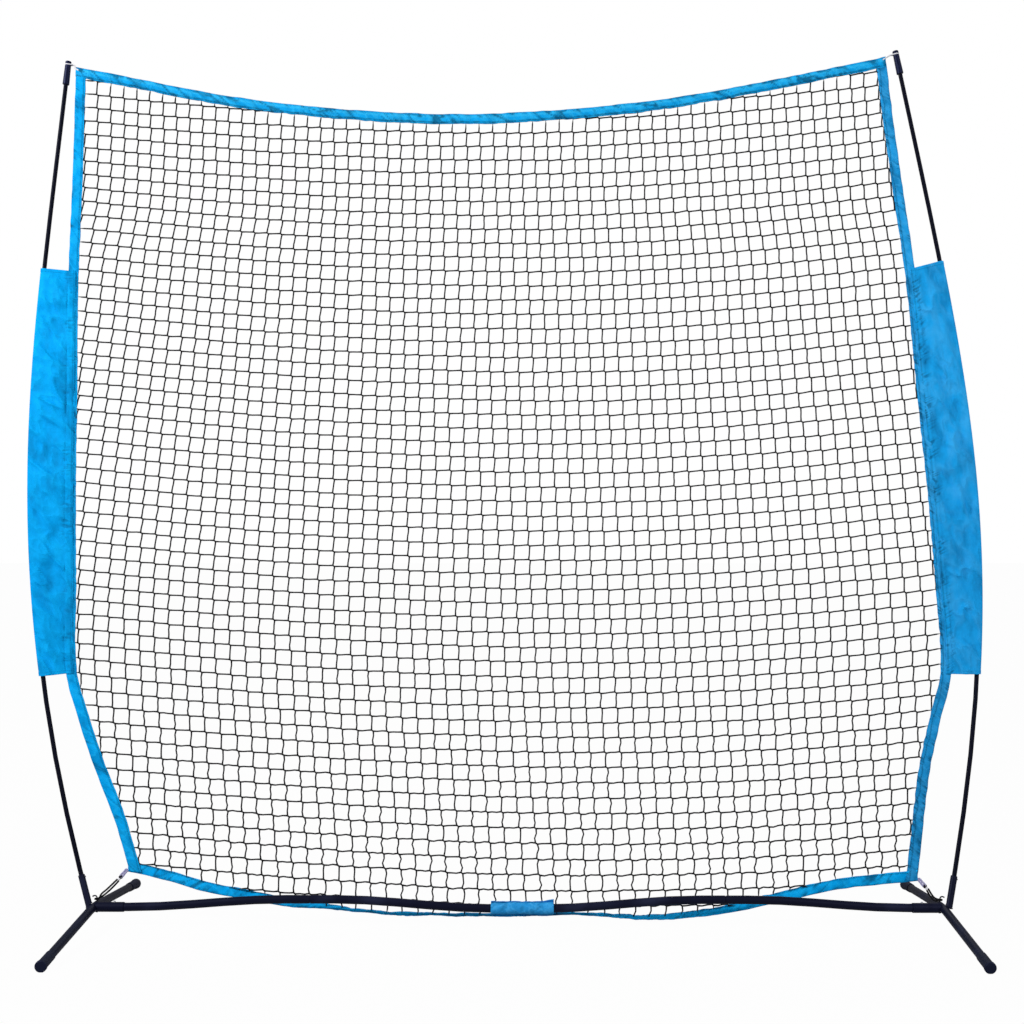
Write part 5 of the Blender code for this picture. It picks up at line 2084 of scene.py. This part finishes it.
    def meet(self, rings: np.ndarray, points: np.ndarray, inner: int, outer: int) -> np.ndarray:
        """Finds where a strand crosses an edge, by halving.

        Args:
            rings: The strand's rings.
            points: Its centreline.
            inner: A ring inside the edge.
            outer: The next one, outside it.

        Returns:
            The ring at the edge, drawn in to a thin end.
        """
        low, high = 0.0, 1.0
        for _ in range(12):
            half = (low + high) / 2
            spot = points[inner] + (points[outer] - points[inner]) * half
            if bool(self.inside(np.array([spot[0]]), np.array([spot[2]]), self.tuck)[0]):
                low = half
            else:
                high = half
        ring = rings[inner] + (rings[outer] - rings[inner]) * max(low, 0.02)
        middle = ring.mean(axis=0)
        return middle + (ring - middle) * self.taper

    def build(self, shop: Workshop) -> None:
        """Builds the columns and the rows, each as one piece.

        Args:
            shop: Where they are built.
        """
        nodes = self.crossings()
        down = [part for i in range(self.columns) for part in self.strand(nodes[i], True, 200 + i)]
        flat = [part for j in range(self.rows) for part in self.strand(nodes[:, j], False, 900 + j)]
        rows = shop.loft("net_rows", flat, self.finish)
        shop.loft("net_columns", down, self.finish)
        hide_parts("net_mesh")


# Small fittings


@dataclass
class CornerFittings:
    """Elastic, bead, knot and clip of one lower corner, with the elastic looped round the hook, and the cord
    of its tip cap.
    """

    net: NetShape
    sizes: FrameSizes
    side: SideSizes
    elastic: bpy.types.Material
    white: bpy.types.Material
    clear: bpy.types.Material
    elastic_radius: float = 0.0022
    bead_radius: float = 0.0037
    bead_length: float = 0.0055
    clip_length: float = 0.024
    clip_width: float = 0.011
    clip_thick: float = 0.0042
    clip_drop: float = 0.0088
    clip_lap: float = 0.003
    stem_rise: float = 0.0040
    stem_radius: float = 0.0016
    cord_lift: float = 0.0008
    tie_radius: float = 0.0016

    def line(self) -> tuple[np.ndarray, np.ndarray, np.ndarray]:
        """Works out where the fittings run.

        Returns:
            The clip's start, the hook's stem and the clip's direction.
        """
        place = 0.0 if self.side.sign < 0 else 1.0
        corner = self.net.hem_point(place, np.array(-self.clip_drop))
        leg = np.array([0.0, self.sizes.leg_back, self.sizes.leg_low - self.sizes.hub_height])
        leg = leg / np.linalg.norm(leg)
        hub = np.array([self.sizes.hub_x(self.side), 0.0, self.sizes.hub_height])
        foot = hub + leg * self.sizes.hook_back + np.array([0, 0, self.sizes.leg_radius + CLEAR])
        stem = foot + np.array([0, 0, self.stem_rise])
        slant = abs(unit(stem - corner)[0])
        corner = corner.copy()
        corner[0] += self.side.sign * (self.clip_width / 2 * (1.15 - slant) + CLEAR)
        way = unit(unit(stem - corner) + np.array([0, 0, -0.15]))
        return corner, stem, way

    def build(self, shop: Workshop) -> None:
        """Builds the fittings.

        Args:
            shop: Where they are built.
        """
        corner, stem, way = self.line()
        self.build_clip(shop, corner, way)
        end = corner + way * self.clip_length
        self.build_bead(shop, end + way * CLEAR, way)
        self.build_elastic(shop, end + way * (self.bead_length + 2 * CLEAR), stem, way)
        self.build_tie(shop)

    def build_clip(self, shop: Workshop, corner: np.ndarray, way: np.ndarray) -> None:
        """A rounded clear loop with a narrow slot, a waist and a rib.

        Args:
            shop: Where it is built.
            corner: The net's corner, just inside its end.
            way: The clip's direction.
        """
        up = unit(np.cross(FRONT, way))
        face = unit(np.cross(way, up))
        half = self.clip_width / 2
        bar = half * 0.90
        reach = (self.clip_length + self.clip_lap) / 2
        middle = corner - way * self.clip_lap + way * (self.clip_length + self.clip_lap) / 2
        t = full_turn(64)
        waist = 1.0 - 0.24 * np.exp(-((np.cos(t) + 0.15) / 0.35) ** 2)
        ahead = np.clip(np.cos(t) * 1.6, -1, 1) * (reach - half) + np.cos(t) * (half - bar / 2)
        route = middle + way * ahead[:, None] + up * (np.sin(t) * (half - bar / 2) * waist)[:, None]
        along = unit(np.roll(route, -1, axis=0) - np.roll(route, 1, axis=0))
        out = np.cross(along, face)
        turn = full_turn(16)
        wide, high = (np.sign(wave) * np.abs(wave) ** 0.6 for wave in (np.cos(turn), np.sin(turn)))
        wide = wide * bar / 2
        high = high * self.clip_thick / 2 * (1 - 0.22 * np.abs(np.cos(turn)) ** 3)
        rings = route[:, None] + out[:, None] * wide[:, None] + face * high[:, None]
        made = shop.loft(f"{self.side.name}_clear_clip", [rings], self.clear, ring=True)
        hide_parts(f"{self.side.name}_corner_clip")

    def build_bead(self, shop: Workshop, start: np.ndarray, way: np.ndarray) -> None:
        """The pale crimp bead.

        Args:
            shop: Where it is built.
            start: The middle of its end at the clip.
            way: The clip's direction.
        """
        share = np.array([0.0, 0.06, 0.2, 0.42, 0.5, 0.58, 0.8, 0.94, 1.0])
        radii = self.bead_radius * np.array([0.5, 0.82, 1.0, 0.95, 0.86, 0.95, 1.0, 0.82, 0.5])
        rings = shop.tube_rings(start + way * (share * self.bead_length)[:, None], radii, 24)
        made = shop.loft(f"{self.side.name}_pale_bead", [rings], self.white)
        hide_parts(f"{self.side.name}_crimp_bead")

    def build_elastic(self, shop: Workshop, start: np.ndarray, stem: np.ndarray, way: np.ndarray) -> None:
        """The doubled elastic round the hook, and its knot inside the clip.

        Args:
            shop: Where it is built.
            start: Where the cord leaves the bead.
            stem: The hook's stem.
            way: The clip's direction.
        """
        away = unit(stem - start)
        ring = self.stem_radius + self.elastic_radius + 2 * CLEAR
        half = self.elastic_radius + CLEAR
        rise = unit(np.cross(FRONT, away))
        rise = rise if rise[2] > 0 else -rise
        flat = unit(np.array([away[0], away[1], 0.0]))
        side_way = unit(np.cross(flat, UP))
        side_way = side_way if side_way[1] < 0 else -side_way
        low, spreads = (-0.0024, (0.0006, 0.0005)) if self.side.sign < 0 else (-0.0095, (0.0002, 0.0002))
        sag = np.array([0.0, 0.0, low])

        def strand(sign: int, spread: float) -> list[np.ndarray]:
            """One half of the loop, from the bead to the hook.

            Args:
                sign: 1 above the middle and -1 below it.
                spread: How much wider it stands halfway.

            Returns:
                Its points.
            """
            found = [start + sign * rise * half]
            for share, part in ((0.25, 0.8), (0.5, 1.0), (0.75, 0.6)):
                hung = start + (stem - start) * share + sag * math.sin(math.pi * share)
                found.append(hung + sign * rise * (half + spread * part) + sign * FRONT * self.cord_lift)
            return found

        turns = ((1, -0.003), (0.75, ring * 0.7), (0, ring), (-0.75, ring * 0.7), (-1, -0.003))
        bend = [stem + side_way * ring * wide + flat * ahead for wide, ahead in turns]
        route = strand(1, spreads[0]) + bend + strand(-1, spreads[1])[::-1]
        made = shop.tube(
            f"{self.side.name}_elastic_loop", smooth_route(route, 140), self.elastic_radius, self.elastic, 16
        )
        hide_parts(f"{self.side.name}_corner_elastic")
        self.build_knot(shop, start - way * (self.bead_length + 0.0040), way)

    def build_knot(self, shop: Workshop, middle: np.ndarray, way: np.ndarray) -> None:
        """An overhand knot pulled tight behind the bead.

        Args:
            shop: Where it is built.
            middle: Its middle.
            way: The clip's direction.
        """
        t = full_turn(90)
        up = unit(np.cross(way, BACK))
        face = unit(np.cross(way, up))
        spread = 2.0 + np.cos(3 * t)
        knot = (
            middle
            + way * (0.0026 * np.sin(3 * t))[:, None]
            + up * (0.00125 * spread * np.cos(2 * t))[:, None]
            + face * (0.00095 * spread * np.sin(2 * t))[:, None]
        )
        rings = shop.tube_rings(knot, self.elastic_radius * 0.75, 10)
        shop.loft(f"{self.side.name}_knot", [rings], self.elastic, ring=True)

    def build_tie(self, shop: Workshop) -> None:
        """The white cord that ties the net's top corner to the tip cap's groove.

        Args:
            shop: Where it is built.
        """
        pole = self.net.poles[self.side.name]
        base = pole.at(pole.length - 0.052)
        axis = unit(pole.at(pole.length) - base)
        crown = pole.at(pole.length) + axis * 0.003
        centre = crown + axis * self.sizes.groove_height / 2
        corner = self.net.corners[self.side.name]
        target = corner + np.array([self.side.sign * 0.002, 0.0, -0.001])
        ring = self.sizes.groove_radius + self.tie_radius + CLEAR
        towards = target - centre
        towards = unit(towards - axis * towards.dot(axis))
        across = np.cross(axis, towards)
        spread = math.radians(62)
        angles = np.linspace(spread, 2 * math.pi - spread, 30)
        arc = [centre + (towards * math.cos(a) + across * math.sin(a)) * ring for a in angles]
        knee = centre + towards * (ring + self.sizes.tip_wall + 4 * self.tie_radius)
        gap = across * (self.tie_radius + CLEAR)
        inner = target + np.array([-self.side.sign * 0.010, -0.0022, -0.007])
        route = [inner + gap, target + gap, knee + gap] + arc + [knee - gap, target - gap, inner - gap]
        made = shop.tube(
            f"{self.side.name}_tie_cord", smooth_route(route, 120), self.tie_radius, self.white, 10
        )
        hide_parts(f"{self.side.name}_corner_cord")


@dataclass
class SteelWork:
    """Materials of the solids that stay, and the weld beads at the hubs."""

    sizes: FrameSizes
    steel: bpy.types.Material
    rod: bpy.types.Material
    rubber: bpy.types.Material
    plastic: bpy.types.Material
    zinc: bpy.types.Material
    bead: float = 0.0011
    round_below: float = math.radians(38)
    same_point: float = 0.000002
    stub_start: float = 0.0042
    socket_radius: float = 0.0079
    stand: float = 0.0004

    def dress(self, nodes: dict[str, bpy.types.Object]) -> None:
        """Gives each solid that stays its finish.

        Args:
            nodes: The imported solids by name.
        """
        finishes = {"foot_cap": self.rubber, "tip_cap": self.plastic, "button": self.zinc}
        finishes |= {f"_pole_{part}": self.rod for part in ("lower", "middle", "upper")}
        shading = self.round_shading()
        for name, obj in nodes.items():
            if obj.hide_render:
                continue
            finish = next((material for part, material in finishes.items() if part in name), self.steel)
            obj.data.materials.clear()
            obj.data.materials.append(finish)
            obj.modifiers.new("round_shading", "NODES").node_group = shading
            LOG.info("solid %s: %s", name, finish.name)

    def round_shading(self) -> bpy.types.NodeTree:
        """Modifier nodes that shade turned and drawn steel as round, and keep its real edges sharp.

        Returns:
            The node group.
        """
        group = bpy.data.node_groups.new("round_shading", "GeometryNodeTree")
        for way in ("INPUT", "OUTPUT"):
            group.interface.new_socket("Geometry", in_out=way, socket_type="NodeSocketGeometry")
        tree = Tree(group)
        shape = tree.add("NodeGroupInput").outputs["Geometry"]
        merged = tree.add(
            "GeometryNodeMergeByDistance", None, {"Geometry": shape, "Distance": self.same_point}
        )
        faces = tree.add("GeometryNodeSetShadeSmooth", None, {"Geometry": merged.outputs["Geometry"]})
        angle = tree.add("GeometryNodeInputMeshEdgeAngle").outputs["Unsigned Angle"]
        sharp = tree.add(
            "FunctionNodeCompare", {"operation": "GREATER_THAN"}, {"A": angle, "B": self.round_below}
        )
        shape, chosen = faces.outputs["Geometry"], sharp.outputs["Result"]
        edges = tree.add(
            "GeometryNodeSetShadeSmooth",
            {"domain": "EDGE"},
            {"Geometry": shape, "Selection": chosen, "Shade Smooth": False},
        )
        tree.add("NodeGroupOutput", None, {"Geometry": edges.outputs["Geometry"]})
        return group

    def springs(self, nodes: dict[str, bpy.types.Object]) -> None:
        """Lets each bent leaf spring give way with its button, which presses on its free end.

        Args:
            nodes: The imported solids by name.
        """
        for side in SIDES:
            for place in ("stub", "socket"):
                leaf = f"{side.name}_{place}_spring"
                button = f"{side.name}_{place}_button"
                skin = nodes[leaf].data.copy()
                skin.transform(nodes[leaf].matrix_world)
                made = placed(f"{leaf}_leaf", skin)
                skin.materials.clear()
                skin.materials.append(self.zinc)
                points = np.array([v.co for v in skin.vertices], float)
                middle = points.mean(axis=0)
                press = self.middle(button) - middle
                press /= np.linalg.norm(press)
                run = (points - middle) @ press
                free, fixed = middle + press * run.max(), middle + press * run.min()
                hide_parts(leaf)
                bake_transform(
                    made, body_of(nodes[leaf])[0], body_of(nodes[button])[0], tuple(fixed), tuple(free)
                )
                LOG.info("spring %s gives way over %.1f mm", leaf, 1000 * float(run.max() - run.min()))

    def middle(self, node: str) -> np.ndarray:
        """The middle of a solid's box."""
        low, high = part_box(node)
        return (np.array(low) + np.array(high)) / 2

    def stub_seam(self, side: SideSizes, turn: np.ndarray) -> np.ndarray:
        """Where a stub meets its leg.

        Args:
            side: Which side.
            turn: Angles round the stub.

        Returns:
            A point for each angle.
        """
        sizes = self.sizes
        y, z = sizes.stub_radius * np.cos(turn), sizes.stub_radius * np.sin(turn)
        x = np.maximum(np.sqrt(np.maximum(sizes.leg_radius**2 - y**2, 0.0)), self.stub_start)
        return np.stack([sizes.hub_x(side) - side.sign * x, y, sizes.hub_height + z], axis=1)

    def socket_seam(self, side: SideSizes, pole: PoleLine, turn: np.ndarray) -> np.ndarray:
        """Where a socket meets its leg.

        Args:
            side: Which side.
            pole: The centreline of its pole.
            turn: Angles round the socket.

        Returns:
            A point for each angle.
        """
        sizes, axis = self.sizes, pole.direction
        foot = pole.mouth - axis * ((sizes.socket_top - sizes.hub_height) / axis[2])
        first = unit(np.cross(axis, BACK))
        second = np.cross(axis, first)
        found = []
        for angle in turn:
            radial = (first * math.cos(angle) + second * math.sin(angle)) * self.socket_radius
            for step in np.linspace(0, 0.05, 260):
                p = foot + radial + axis * step
                away = math.hypot(p[0] - sizes.hub_x(side), p[2] - sizes.hub_height)
                if away > sizes.leg_radius + self.stand:
                    break
            found.append(p)
        return np.array(found)

    def welds(self, shop: Workshop, poles: dict[str, PoleLine]) -> None:
        """Builds the weld bead round each stub and socket where it meets the leg.

        Args:
            shop: Where they are built.
            poles: The centreline on each side.
        """
        turn = full_turn(96)
        bead = self.bead * (1.0 + 0.16 * np.sin(turn * 24))
        for side in SIDES:
            seams = {
                "stub": self.stub_seam(side, turn),
                "socket": self.socket_seam(side, poles[side.name], turn),
            }
            for place, points in seams.items():
                rings = shop.tube_rings(points, bead, 8)
                shop.loft(f"{side.name}_{place}_weld", [rings], self.steel, ring=True)


# Studio


@dataclass(frozen=True)
class Studio:
    """Camera, lamps, floor and backdrop."""

    eye: tuple[float, float, float] = (0.0579, -3.6712, 0.9333)
    lens: float = 54.66
    turn: float = math.radians(0.307)
    tilt: float = math.radians(0.834)
    slide: tuple[float, float] = (-0.0214, -0.0047)
    sensor: float = 36.0
    ambient: float = 0.28
    floor_size: float = 40.0
    floor_glow: float = 0.98
    aim: tuple[float, float, float] = (0.0, 0.2, 0.9)
    lights: tuple[tuple[str, tuple[float, float, float], float, float], ...] = (
        ("key", (-4.4, -2.2, 3.7), 1.4, 226.0),
        ("fill", (3.8, -3.2, 2.9), 1.8, 96.0),
        ("rim", (0.6, 3.6, 3.2), 2.4, 16.0),
    )

    def camera(self, shift: float) -> None:
        """Puts the camera where the photograph was taken from.

        Args:
            shift: Where the hubs' middle stands along X.
        """
        data = bpy.data.cameras.new("camera")
        data.lens = self.lens
        data.sensor_width = self.sensor
        data.clip_end = 60.0
        data.shift_x, data.shift_y = self.slide
        camera = placed("camera", data)
        camera.location = (self.eye[0] + shift, self.eye[1], self.eye[2])
        level = math.cos(self.tilt)
        way = (-math.sin(self.turn) * level, math.cos(self.turn) * level, math.sin(self.tilt))
        camera.rotation_euler = facing(Vector(way))
        bpy.context.scene.camera = camera

    def floor(self) -> None:
        """A wide pale floor that keeps the object's shadow."""
        size = self.floor_size
        mesh = bpy.data.meshes.new("floor")
        corners = [(-size, -size, 0), (size, -size, 0), (size, size, 0), (-size, size, 0)]
        mesh.from_pydata(corners, [], [(0, 1, 2, 3)])
        floor = placed("floor", mesh)
        g = Graph("pale_floor")
        path = g.add("ShaderNodeLightPath")
        seen = Value(g, path.outputs["Is Camera Ray"]) + Value(g, path.outputs["Is Transmission Ray"])
        g.set(Base_Color=(0.5, 0.5, 0.5, 1.0), Roughness=0.9, Specular_IOR_Level=0.1)
        glow = g.add("ShaderNodeEmission", None, {"Color": WHITE, "Strength": 1.0})
        lit = g.shader.outputs[0]
        share = g.math("MINIMUM", seen, 1.0) * self.floor_glow
        blend = g.add("ShaderNodeMixShader", None, {0: share, 1: lit, 2: glow.outputs[0]})
        out = next(n for n in g.tree.nodes if n.type == "OUTPUT_MATERIAL")
        g.feed(out.inputs["Surface"], blend.outputs[0])
        mesh.materials.append(g.made)

    def world(self) -> None:
        """Even light from all round, with a white background."""
        world = bpy.data.worlds.new("studio")
        bpy.context.scene.world = world
        world.use_nodes = True
        world.node_tree.nodes.clear()
        sky = Tree(world.node_tree)
        path = sky.add("ShaderNodeLightPath")
        seen = sky.math("MAXIMUM", path.outputs["Is Camera Ray"], path.outputs["Is Transmission Ray"])
        dim, white = (
            sky.add("ShaderNodeBackground", None, {0: WHITE, 1: strength}).outputs[0]
            for strength in (self.ambient, 1.0)
        )
        mix = sky.add("ShaderNodeMixShader", None, {0: seen, 1: dim, 2: white})
        sky.add("ShaderNodeOutputWorld", None, {0: mix.outputs[0]})

    def lamps(self) -> None:
        """A broad key from the upper left, a weaker fill from the right and a faint rim from behind."""
        for name, place, size, power in self.lights:
            data = bpy.data.lights.new(name, "AREA")
            data.shape = "DISK"
            data.size = size
            data.energy = power
            lamp = placed(name, data)
            lamp.location = place
            lamp.rotation_euler = facing(Vector(self.aim) - Vector(place))

    def build(self, shift: float) -> None:
        """Builds the studio.

        Args:
            shift: Where the hubs' middle stands along X.
        """
        scene = bpy.context.scene
        scene.view_settings.view_transform = "Standard"
        self.camera(shift)
        self.floor()
        self.world()
        self.lamps()


def main() -> None:
    """Builds every piece in order."""
    logging.basicConfig(level=logging.INFO, format="%(name)s: %(message)s")
    sizes = FrameSizes()
    Studio().build(sizes.shift())
    poles = {side.name: PoleLine(side, sizes) for side in SIDES}
    net = NetShape(poles, sizes, HemSizes())
    shop = Workshop()
    SquareMesh(net, NET_TWINE.material(), sizes.shift()).build(shop)
    # The top hem takes a copy with painted light, the right binding a copy with painted shade and sheen.
    others = {"top_edge_hem": SUNLIT.material(), "right_edge_binding": SHADED_BINDING.material()}
    BoundEdges(net, BINDING.material(), others).build(shop)
    cords = [finish.material() for finish in (ELASTIC, WHITE_CORD, ClearPlastic())]
    for side in SIDES:
        PoleSleeve(net, side, SLEEVES).build(shop)
        CornerFittings(net, sizes, side, *cords).build(shop)
    CrossbarWrap(net, sizes, WRAP.material()).build(shop)
    finishes = (PowderCoat(), GlassFibre(), RUBBER, CAP_PLASTIC, Zinc())
    work = SteelWork(sizes, *(finish.material() for finish in finishes))
    work.welds(shop, poles)
    work.springs(frame["nodes"])
    work.dress(frame["nodes"])
    bpy.context.view_layer.update()
    LOG.info("built %d pieces", len(shop.made))


if __name__ == "__main__":
    main()
